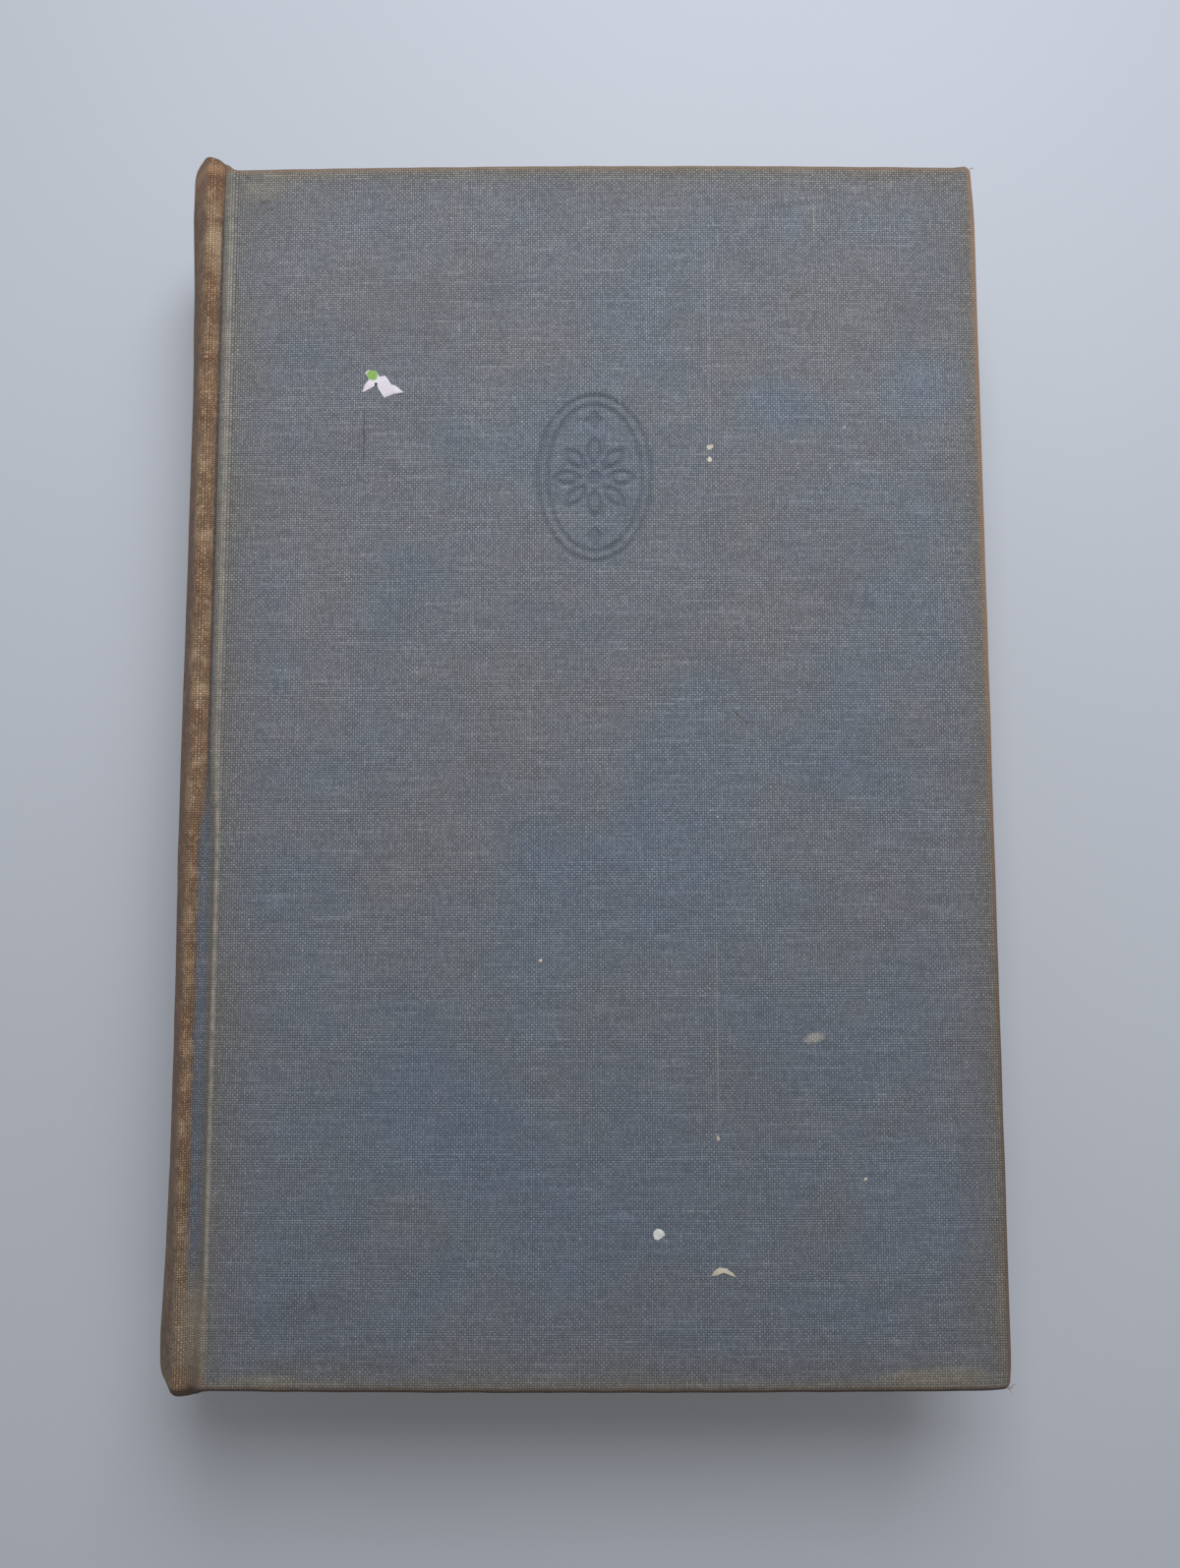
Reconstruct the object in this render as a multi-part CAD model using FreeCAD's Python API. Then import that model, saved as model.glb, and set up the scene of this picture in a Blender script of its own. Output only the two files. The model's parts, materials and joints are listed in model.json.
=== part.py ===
import FreeCAD, Part
import math
import os

# A cloth-bound hardback book, lying closed on its back cover.
# +Z is up through the front cover, +Y runs to the head, the spine is on the -X side.
# The origin is the centre of the base, under the middle of the whole book. Sizes are in millimetres.

# Covers
cover_height = 222.0
cover_width = 140.0
board_thickness = 2.6
cloth_thickness = 0.4
corner_radius = 2.0
outer_edge_radius = 1.0
turn_in_width = 15.0

# Endpapers
paper_thickness = 0.2
pastedown_margin = 3.5

# Text block
pages_thickness = 31.6
head_square = 3.0
tail_square = 3.0
fore_edge_square = 3.0
fore_edge_hollow = 4.5

# Backed spine of the text block
ridge_radius = 0.3
spine_projection = 5.3
shoulder_angle = 70.0
groove_fillet = 1.0

# Layers on the spine, from the leaves outwards
mull_thickness = 0.3
mull_inset = 16.0
lining_thickness = 0.2
lining_margin = 3.5
hollow_clearance = 0.5
inlay_thickness = 0.4
inlay_margin = 1.8
spine_cloth_ridge_radius = 0.8
spine_cloth_ridge_lift = 0.2

# Joints between the spine and the covers
joint_gap = 3.9
joint_clearance = 0.3

# Caps of the spine cloth past the covers' head and tail edges
headcap_rise = 2.8
tailcap_rise = 1.2

# Headbands
band_bead_radius = 1.0
band_flange_height = 9.0
band_flange_thickness = 0.2
band_margin = 4.0

# Blind-stamped ornament on the front cover
stamp_depth = 0.2
stamp_line_width = 0.8
stamp_half_width = 10.9
stamp_half_height = 16.0
stamp_frame_gap = 1.0
stamp_from_joint_edge = 68.2
stamp_from_head_edge = 60.0
petal_count = 8
petal_inner_radius = 2.2
petal_length = 5.6
petal_bulge = 1.5
rosette_eye_radius = 1.3
lozenge_half_width = 1.6
lozenge_half_height = 1.9
lozenge_from_centre = 11.0

# Torn scrap of a paper label on the front cover
label_thickness = 0.1
label_from_joint_edge = 29.0
label_from_head_edge = 41.7
LABEL_OUTLINE = [
    (-4.0, -1.7), (-1.3, 0.0), (0.2, -2.6), (4.0, -1.7), (3.3, -0.9),
    (1.1, 1.1), (-0.7, 1.5), (-2.4, 2.8), (-3.3, 2.2),
]

# Levels through the book, from the table upwards
cover_thickness = board_thickness + 2 * cloth_thickness + paper_thickness
block_bottom = cover_thickness
pages_bottom = block_bottom + paper_thickness
pages_top = pages_bottom + pages_thickness
block_top = pages_top + paper_thickness
book_top = block_top + cover_thickness
middle_z = book_top / 2
front_hinge_z = block_top + cover_thickness / 2

# Distances outwards from the hinge line to the spine layers at the middle of the spine
mull_projection = spine_projection + mull_thickness
lining_projection = mull_projection + lining_thickness
inlay_projection = lining_projection + hollow_clearance + inlay_thickness
cloth_projection = inlay_projection + cloth_thickness

# Places across and along the book
overall_width = cloth_projection + joint_gap + cover_width
overall_length = headcap_rise + cover_height + tailcap_rise
hinge_x = cloth_projection - overall_width / 2
joint_edge_x = hinge_x + joint_gap
fore_edge_x = joint_edge_x + cover_width
strip_end_x = joint_edge_x - joint_clearance
cover_tail_y = tailcap_rise - overall_length / 2
cover_head_y = cover_tail_y + cover_height
block_tail_y = cover_tail_y + tail_square
block_head_y = cover_head_y - head_square
cap_tail_y = cover_tail_y - tailcap_rise
cap_head_y = cover_head_y + headcap_rise


def point(x, y, z):
    return FreeCAD.Vector(x, y, z)


def box(x0, x1, y0, y1, z0, z1):
    return Part.makeBox(x1 - x0, y1 - y0, z1 - z0, point(x0, y0, z0))


def line(a, b):
    return Part.LineSegment(a, b).toShape()


def arc(a, middle, b):
    return Part.Arc(a, middle, b).toShape()


def prism(edges, direction):
    return Part.Face(Part.Wire(edges)).extrude(direction)


def closed_lines(points):
    following = points[1:] + points[:1]
    return [line(a, b) for a, b in zip(points, following)]


def joined(solid, others):
    return solid.multiFuse(others).removeSplitter()


def mirrored_front_to_back(p):
    return point(p.x, p.y, 2 * middle_z - p.z)


class SpineLine:
    """The outline of one surface of the spine, seen from the tail.

    It is an arc round the back that rolls over a small ridge at each shoulder and drops down the
    shoulder's flank into the joint groove. Offsets of one outline share its centres.
    """

    def __init__(self, projection, ridge_x, ridge_z, ridge, floor_z, fillet):
        rise = ridge_z - middle_z
        reach = ridge_x - (hinge_x - projection)
        self.apex_x = hinge_x - projection
        self.radius = (reach ** 2 + rise ** 2 - ridge ** 2) / (2 * (reach - ridge))
        self.centre = point(self.apex_x + self.radius, 0, middle_z)
        self.ridge_centre = point(ridge_x, 0, ridge_z)
        self.ridge = ridge
        self.floor_z = floor_z
        self.fillet = fillet

    def offset(self, distance, floor_step):
        """The same outline moved outwards, with its groove floor raised by floor_step."""
        return SpineLine(
            hinge_x - self.apex_x + distance,
            self.ridge_centre.x,
            self.ridge_centre.z,
            self.ridge + distance,
            self.floor_z + floor_step,
            self.fillet - distance,
        )

    def front_points(self, end_x):
        """Corner and mid-arc points from the middle of the back to the end of the groove floor."""
        slope = math.radians(shoulder_angle)
        flank = point(math.sin(slope), 0, math.cos(slope))
        outward = (self.ridge_centre - self.centre).normalize()
        ridge_mid = (outward + flank).normalize()
        fillet_z = self.floor_z + self.fillet
        along = flank.dot(self.ridge_centre) + self.ridge + self.fillet
        fillet_centre = point((along - flank.z * fillet_z) / flank.x, 0, fillet_z)
        floor_mid = (flank + point(0, 0, 1)).normalize()
        return [
            point(self.apex_x, 0, middle_z),
            self.ridge_centre + outward * self.ridge,
            self.ridge_centre + ridge_mid * self.ridge,
            self.ridge_centre + flank * self.ridge,
            fillet_centre - flank * self.fillet,
            fillet_centre - floor_mid * self.fillet,
            point(fillet_centre.x, 0, self.floor_z),
            point(end_x, 0, self.floor_z),
        ]

    def edges(self, end_x):
        """Edges from the front groove floor, round the back, to the back groove floor."""
        front = self.front_points(end_x)
        back = [mirrored_front_to_back(p) for p in front]
        return [
            line(front[7], front[6]),
            arc(front[6], front[5], front[4]),
            line(front[4], front[3]),
            arc(front[3], front[2], front[1]),
            arc(front[1], front[0], back[1]),
            arc(back[1], back[2], back[3]),
            line(back[3], back[4]),
            arc(back[4], back[5], back[6]),
            line(back[6], back[7]),
        ]

    def on_arc(self, depth, height):
        """A point on the arc set in by depth, at a height over the middle of the back."""
        radius = self.radius - depth
        x = self.centre.x - math.sqrt(radius ** 2 - height ** 2)
        return point(x, 0, middle_z + height)


LEAVES = SpineLine(spine_projection, hinge_x, front_hinge_z, ridge_radius, pages_top, groove_fillet)
hinge_ply = 2 * paper_thickness
MULL_INSIDE = LEAVES.offset(0, hinge_ply)
MULL_OUTSIDE = LEAVES.offset(mull_thickness, hinge_ply + mull_thickness)


def cloth_line():
    """The inside of the spine cloth, which lies on the mull's flank and floor."""
    slope = math.radians(shoulder_angle)
    lift = spine_cloth_ridge_lift
    growth = spine_cloth_ridge_radius - MULL_OUTSIDE.ridge
    shift = (growth + lift * math.cos(slope)) / math.sin(slope)
    return SpineLine(
        cloth_projection - cloth_thickness,
        hinge_x - shift,
        front_hinge_z + lift,
        spine_cloth_ridge_radius,
        MULL_OUTSIDE.floor_z,
        MULL_OUTSIDE.fillet,
    )


CLOTH_INSIDE = cloth_line()
CLOTH_OUTSIDE = CLOTH_INSIDE.offset(cloth_thickness, cloth_thickness)


def spine_layer(inside, outside, end_x, y0, y1):
    """A sheet that follows the spine from groove to groove."""
    inner = inside.edges(end_x)
    outer = outside.edges(end_x)
    ends = [
        line(inside.front_points(end_x)[7], outside.front_points(end_x)[7]),
        line(
            mirrored_front_to_back(inside.front_points(end_x)[7]),
            mirrored_front_to_back(outside.front_points(end_x)[7]),
        ),
    ]
    wire = Part.Wire(Part.__sortEdges__(inner + outer + ends))
    sheet = Part.Face(wire).extrude(point(0, y1 - y0, 0))
    sheet.translate(point(0, y0, 0))
    return sheet


def curved_strip(outline, depth_out, depth_in, half_height, y0, y1):
    """A sheet on the round of the back alone, between two depths under an outline."""
    outer_top = outline.on_arc(depth_out, half_height)
    inner_top = outline.on_arc(depth_in, half_height)
    outer_mid = outline.on_arc(depth_out, 0)
    inner_mid = outline.on_arc(depth_in, 0)
    edges = [
        arc(outer_top, outer_mid, mirrored_front_to_back(outer_top)),
        line(mirrored_front_to_back(outer_top), mirrored_front_to_back(inner_top)),
        arc(mirrored_front_to_back(inner_top), inner_mid, inner_top),
        line(inner_top, outer_top),
    ]
    strip = prism(edges, point(0, y1 - y0, 0))
    strip.translate(point(0, y0, 0))
    return strip


def make_text_block():
    """All the leaves as one solid: backed spine, shoulders and a hollow fore-edge."""
    end_x = fore_edge_x - fore_edge_square
    top = point(end_x, 0, pages_top)
    bottom = point(end_x, 0, pages_bottom)
    hollow = point(end_x - fore_edge_hollow, 0, middle_z)
    edges = LEAVES.edges(end_x) + [arc(bottom, hollow, top)]
    block = prism(edges, point(0, block_head_y - block_tail_y, 0))
    block.translate(point(0, block_tail_y, 0))
    return block


def make_front_flyleaf():
    """The free endpaper, with the ply of its fold that lies in the joint groove."""
    fold_x = LEAVES.front_points(strip_end_x)[6].x + paper_thickness
    end_x = fore_edge_x - fore_edge_square
    leaf = box(fold_x, end_x, block_tail_y, block_head_y, pages_top, block_top)
    ply_top = block_top + paper_thickness
    ply = box(fold_x, strip_end_x, block_tail_y, block_head_y, block_top, ply_top)
    return joined(leaf, [ply])


def make_mull():
    """Open-weave cloth glued over the folds of the sections and down the shoulders."""
    return spine_layer(
        MULL_INSIDE, MULL_OUTSIDE, strip_end_x, block_tail_y + mull_inset, block_head_y - mull_inset
    )


def make_spine_lining():
    """Paper glued over the mull, short of both shoulders."""
    half = LEAVES.ridge_centre.z - middle_z - lining_margin
    return curved_strip(
        MULL_OUTSIDE, -lining_thickness, 0, half, block_tail_y + mull_inset, block_head_y - mull_inset
    )


def make_spine_inlay():
    """Stiff paper inside the spine cloth, inside the folds of its head and tail turn-ins."""
    half = CLOTH_INSIDE.ridge_centre.z - middle_z - inlay_margin
    return curved_strip(
        CLOTH_INSIDE, 0, inlay_thickness, half, cap_tail_y + cloth_thickness, cap_head_y - cloth_thickness
    )


def cap_cutter(edge_y, cap_y):
    """Takes the corner off the joint strip, from the cap on the ridge down to the cover's edge."""
    ridge_x = CLOTH_OUTSIDE.ridge_centre.x
    mid_x = (ridge_x + strip_end_x) / 2
    mid_y = edge_y + (cap_y - edge_y) * 0.7
    outside_y = cap_y + (cap_y - edge_y)
    beyond_x = strip_end_x + joint_gap
    edges = [
        arc(point(ridge_x, cap_y, 0), point(mid_x, mid_y, 0), point(strip_end_x, edge_y, 0)),
        line(point(strip_end_x, edge_y, 0), point(beyond_x, edge_y, 0)),
        line(point(beyond_x, edge_y, 0), point(beyond_x, outside_y, 0)),
        line(point(beyond_x, outside_y, 0), point(ridge_x, outside_y, 0)),
        line(point(ridge_x, outside_y, 0), point(ridge_x, cap_y, 0)),
    ]
    return prism(edges, point(0, 0, book_top))


def make_spine_cloth():
    """Covering cloth over the spine and both joint grooves, folded in at the head and the tail."""
    cloth = spine_layer(CLOTH_INSIDE, CLOTH_OUTSIDE, strip_end_x, cap_tail_y, cap_head_y)
    half = CLOTH_INSIDE.ridge_centre.z - middle_z - inlay_margin
    under = inlay_thickness + cloth_thickness
    folds = []
    for end_y, inward in ((cap_tail_y, 1), (cap_head_y, -1)):
        lip_y = end_y + inward * cloth_thickness
        inner_y = end_y + inward * turn_in_width
        lip = curved_strip(CLOTH_INSIDE, 0, under, half, min(end_y, lip_y), max(end_y, lip_y))
        turn_in = curved_strip(
            CLOTH_INSIDE, inlay_thickness, under, half, min(end_y, inner_y), max(end_y, inner_y)
        )
        folds += [lip, turn_in]
    cloth = joined(cloth, folds)
    cloth = cloth.cut(cap_cutter(cover_head_y, cap_head_y))
    return cloth.cut(cap_cutter(cover_tail_y, cap_tail_y))


def make_headband(edge_y, outward):
    """A corded band: a bead on the leaves' edge and a flange glued down the back of the leaves."""
    half = LEAVES.ridge_centre.z - middle_z - band_margin
    flange_end_y = edge_y - outward * band_flange_height
    bead_end_y = edge_y + outward * 2 * band_bead_radius
    flange = curved_strip(
        LEAVES, -band_flange_thickness, 0, half, min(flange_end_y, bead_end_y), max(flange_end_y, bead_end_y)
    )
    bead = curved_strip(
        LEAVES, 0, 2 * band_bead_radius, half, min(edge_y, bead_end_y), max(edge_y, bead_end_y)
    )
    crown_edges = [e for e in bead.Edges if is_crown(e, bead_end_y)]
    bead = bead.makeFillet(0.6 * band_bead_radius, crown_edges)
    return joined(flange, [bead])


def is_crown(edge, y):
    """True for the inner long edge of a headband's bead, at its free end."""
    box_of_edge = edge.BoundBox
    flat = abs(box_of_edge.YMin - y) < 1e-6 and abs(box_of_edge.YMax - y) < 1e-6
    inside = box_of_edge.XMin > LEAVES.apex_x + band_bead_radius
    return flat and inside and box_of_edge.ZLength > band_bead_radius * 4


def cover_slab(inset, z0, z1, corner, top_round):
    """A cover-shaped slab inset from the cloth's outside, rounded at the fore-edge corners and its top."""
    x0 = joint_edge_x + inset
    x1 = fore_edge_x - inset
    y0 = cover_tail_y + inset
    y1 = cover_head_y - inset
    slab = box(x0, x1, y0, y1, z0, z1)
    corners = [e for e in slab.Edges if is_fore_corner(e, x1, z1 - z0)]
    slab = slab.makeFillet(corner, corners)
    rims = [e for e in slab.Edges if e.BoundBox.ZMin > z1 - 1e-6]
    return slab.makeFillet(top_round, rims)


def is_fore_corner(edge, x, height):
    upright = abs(edge.BoundBox.ZLength - height) < 1e-6
    return upright and edge.BoundBox.XMin > x - 1e-6


def make_board():
    """One grey board, its outer face up and the cover's inner face at zero height."""
    low = paper_thickness + cloth_thickness
    high = low + board_thickness
    inner_round = outer_edge_radius - cloth_thickness
    return cover_slab(cloth_thickness, low, high, corner_radius - cloth_thickness, inner_round)


def turn_in_window(z0, z1):
    """The part of a board's inner face that the turned-in cloth leaves bare."""
    reach = cloth_thickness + turn_in_width
    return box(
        joint_edge_x + cloth_thickness,
        fore_edge_x - reach,
        cover_tail_y + reach,
        cover_head_y - reach,
        z0,
        z1,
    )


def make_cover_cloth():
    """Cloth over one board, down its joint edge and turned in along the other three edges."""
    outside = cover_slab(0, paper_thickness, cover_thickness, corner_radius, outer_edge_radius)
    cloth = outside.cut(make_board())
    return cloth.cut(turn_in_window(paper_thickness, paper_thickness + cloth_thickness))


def make_pastedown():
    """Endpaper glued to the board, stepping up over the edge of the turned-in cloth."""
    on_board = paper_thickness + cloth_thickness
    sheet = box(
        joint_edge_x + cloth_thickness,
        fore_edge_x - pastedown_margin,
        cover_tail_y + pastedown_margin,
        cover_head_y - pastedown_margin,
        0,
        on_board,
    )
    window = turn_in_window(paper_thickness, on_board)
    under = sheet.cut(turn_in_window(0, on_board)).common(lower_layer(paper_thickness, on_board))
    hollow = box(
        joint_edge_x + cloth_thickness,
        window.BoundBox.XMax - paper_thickness,
        window.BoundBox.YMin + paper_thickness,
        window.BoundBox.YMax - paper_thickness,
        0,
        cloth_thickness,
    )
    return sheet.cut(under).cut(hollow)


def lower_layer(z0, z1):
    return box(joint_edge_x, fore_edge_x, cover_tail_y, cover_head_y, z0, z1)


def ellipse_groove(half_width, half_height):
    """An upright elliptical line, as a flat ring."""
    outer = upright_ellipse(half_width, half_height)
    inner = upright_ellipse(half_width - stamp_line_width, half_height - stamp_line_width)
    return outer.cut(inner)


def upright_ellipse(half_width, half_height):
    curve = Part.Ellipse(point(0, half_height, 0), point(-half_width, 0, 0), point(0, 0, 0))
    return Part.Face(Part.Wire(curve.toShape()))


def petal(length, bulge):
    """A pointed leaf shape lying along +X, from the origin."""
    upper = arc(point(0, 0, 0), point(length / 2, bulge, 0), point(length, 0, 0))
    lower = arc(point(length, 0, 0), point(length / 2, -bulge, 0), point(0, 0, 0))
    return Part.Face(Part.Wire([upper, lower]))


def stamped_rosette():
    """Outlined petals round an eye."""
    shapes = []
    for index in range(petal_count):
        outer = petal(petal_length, petal_bulge)
        inner = petal(petal_length - 3 * stamp_line_width, petal_bulge - stamp_line_width)
        inner.translate(point(1.5 * stamp_line_width, 0, 0))
        outline = outer.cut(inner)
        outline.translate(point(petal_inner_radius, 0, 0))
        outline.rotate(point(0, 0, 0), point(0, 0, 1), index * 360.0 / petal_count)
        shapes.append(outline)
    shapes.append(Part.Face(Part.Wire(Part.makeCircle(rosette_eye_radius))))
    return shapes


def stamped_lozenges():
    """A small lozenge over and one under the rosette."""
    shapes = []
    for y in (lozenge_from_centre, -lozenge_from_centre):
        corners = [
            point(-lozenge_half_width, y, 0),
            point(0, y - lozenge_half_height, 0),
            point(lozenge_half_width, y, 0),
            point(0, y + lozenge_half_height, 0),
        ]
        shapes.append(Part.Face(Part.Wire(closed_lines(corners))))
    return shapes


def make_stamp():
    """The cutter of the whole ornament, standing on the sunk level of the front cover."""
    step = stamp_line_width + stamp_frame_gap
    shapes = [
        ellipse_groove(stamp_half_width, stamp_half_height),
        ellipse_groove(stamp_half_width - step, stamp_half_height - step),
    ]
    shapes += stamped_rosette()
    shapes += stamped_lozenges()
    place = point(
        joint_edge_x + stamp_from_joint_edge, cover_head_y - stamp_from_head_edge, book_top - stamp_depth
    )
    cutters = []
    for shape in shapes:
        cutter = shape.extrude(point(0, 0, 2 * stamp_depth))
        cutter.translate(place)
        cutters.append(cutter)
    return Part.makeCompound(cutters)


def make_label_remnant():
    """A torn scrap of thin paper stuck to the front cover."""
    x = joint_edge_x + label_from_joint_edge
    y = cover_head_y - label_from_head_edge
    corners = [point(x + dx, y + dy, book_top) for dx, dy in LABEL_OUTLINE]
    return prism(closed_lines(corners), point(0, 0, label_thickness))


def on_front(shape):
    """Lifts a cover piece from its own height to the front of the book."""
    placed = shape.copy()
    placed.translate(point(0, 0, block_top))
    return placed


def on_back(shape):
    """Turns a front-cover piece over, end for end, to the back of the book."""
    placed = shape.copy()
    centre = point(0, (cover_head_y + cover_tail_y) / 2, cover_thickness / 2)
    placed.rotate(centre, point(1, 0, 0), 180)
    return placed


def to_back_of_block(shape):
    """Turns a piece of the front of the text block over to its back."""
    placed = shape.copy()
    placed.rotate(point(0, (block_head_y + block_tail_y) / 2, middle_z), point(1, 0, 0), 180)
    return placed


def make_parts():
    board = make_board()
    cover_cloth = make_cover_cloth()
    pastedown = make_pastedown()
    flyleaf = make_front_flyleaf()
    return {
        "text_block": make_text_block(),
        "front_flyleaf": flyleaf,
        "back_flyleaf": to_back_of_block(flyleaf),
        "mull": make_mull(),
        "spine_lining": make_spine_lining(),
        "spine_inlay": make_spine_inlay(),
        "spine_cloth": make_spine_cloth(),
        "head_band": make_headband(block_head_y, 1),
        "tail_band": make_headband(block_tail_y, -1),
        "front_board": on_front(board),
        "front_cloth": on_front(cover_cloth).cut(make_stamp()),
        "front_pastedown": on_front(pastedown),
        "label_remnant": make_label_remnant(),
        "back_board": on_back(board),
        "back_cloth": on_back(cover_cloth),
        "back_pastedown": on_back(pastedown),
    }


os.makedirs("parts", exist_ok=True)
for name, shape in make_parts().items():
    shape.exportStep("parts/" + name + ".step")
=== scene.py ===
"""A worn cloth-bound hardback book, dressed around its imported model. Lengths are in millimetres unless said."""

import json
import logging
import math
from dataclasses import dataclass
from enum import Enum
from typing import Optional, Sequence, Union

import bmesh
import bpy
import numpy as np
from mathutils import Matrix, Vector


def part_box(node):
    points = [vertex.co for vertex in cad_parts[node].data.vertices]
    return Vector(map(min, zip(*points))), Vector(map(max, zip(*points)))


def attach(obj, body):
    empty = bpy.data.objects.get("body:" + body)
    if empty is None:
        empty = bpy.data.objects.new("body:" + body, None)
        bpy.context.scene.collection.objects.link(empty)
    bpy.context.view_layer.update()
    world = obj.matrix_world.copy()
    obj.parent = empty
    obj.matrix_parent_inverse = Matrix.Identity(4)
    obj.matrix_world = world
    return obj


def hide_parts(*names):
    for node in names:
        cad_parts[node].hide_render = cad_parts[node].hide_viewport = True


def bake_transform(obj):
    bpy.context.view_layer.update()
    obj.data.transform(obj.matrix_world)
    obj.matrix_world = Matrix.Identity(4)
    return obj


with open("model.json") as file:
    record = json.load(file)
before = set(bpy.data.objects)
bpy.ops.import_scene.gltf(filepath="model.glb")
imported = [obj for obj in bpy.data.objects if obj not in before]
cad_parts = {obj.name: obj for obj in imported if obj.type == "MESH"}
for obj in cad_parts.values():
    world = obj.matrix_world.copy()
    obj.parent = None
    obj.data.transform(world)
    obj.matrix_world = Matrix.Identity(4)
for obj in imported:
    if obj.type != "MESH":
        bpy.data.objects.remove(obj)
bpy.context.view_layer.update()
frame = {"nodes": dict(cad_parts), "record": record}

MM = 0.001
Colour = tuple[float, float, float]
Value = Union[float, int, tuple, bpy.types.NodeSocket]
log = logging.getLogger("hardback")


def linear(red: int, green: int, blue: int) -> Colour:
    """Turns an 8-bit display colour into the linear values that a shader takes.

    Args:
        red, green, blue: display values from 0 to 255.

    Returns:
        The three linear values.
    """
    parts = (red / 255, green / 255, blue / 255)
    return tuple(p / 12.92 if p <= 0.04045 else ((p + 0.055) / 1.055) ** 2.4 for p in parts)


def ease(value: np.ndarray, low: float, high: float) -> np.ndarray:
    """A smooth step from 0 at low to 1 at high."""
    t = np.clip((value - low) / (high - low), 0, 1)
    return t * t * (3 - 2 * t)


def soft_noise(x: np.ndarray, y: np.ndarray, pitch: float, seed: int) -> np.ndarray:
    """Smooth, repeatable noise from -1 to 1, for shapes that are never quite true.

    Args:
        x, y: places in millimetres.
        pitch: rough size of one swell in millimetres.
        seed: picks one pattern.

    Returns:
        One value for each place.
    """
    draws = np.random.default_rng(seed)
    total = np.zeros(np.broadcast(x, y).shape)
    for _ in range(6):
        angle, phase = draws.uniform(0, 2 * math.pi, 2)
        length = pitch * draws.uniform(0.7, 1.6)
        along = np.cos(angle) * x + np.sin(angle) * y
        total = total + np.sin(2 * math.pi * along / length + phase)
    return total / 6


class Side(Enum):
    """Which cover of the book a piece belongs to."""

    FRONT = 1
    BACK = -1


class Wear(Enum):
    """How much a cloth surface has been handled."""

    LIGHT = 0.45
    HEAVY = 1.0


@dataclass(frozen=True)
class BookPlan:
    """Levels and outlines of the closed book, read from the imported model, in millimetres."""

    joint_x: float
    fore_x: float
    tail_y: float
    head_y: float
    top_z: float
    cover: float
    leaves_low: tuple
    leaves_high: tuple
    hinge_x: float
    hinge_z: float

    @classmethod
    def from_frame(cls) -> "BookPlan":
        """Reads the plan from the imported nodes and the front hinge."""
        low, high = (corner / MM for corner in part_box("front_cloth"))
        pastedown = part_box("front_pastedown")[0] / MM
        leaves_low, leaves_high = (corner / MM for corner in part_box("text_block"))
        hinge = next(j for j in frame["record"]["behaviour"]["joints"] if j["name"] == "front_hinge")
        return cls(
            low.x, high.x, low.y, high.y, high.z, high.z - pastedown.z,
            tuple(leaves_low), tuple(leaves_high), hinge["pos_m"][0] / MM, hinge["pos_m"][2] / MM,
        )

    @property
    def middle_z(self) -> float:
        """Half the thickness of the book."""
        return self.top_z / 2

    @property
    def middle_y(self) -> float:
        """Half-way between the head and tail edges of the covers."""
        return (self.head_y + self.tail_y) / 2


# Node trees


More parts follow.
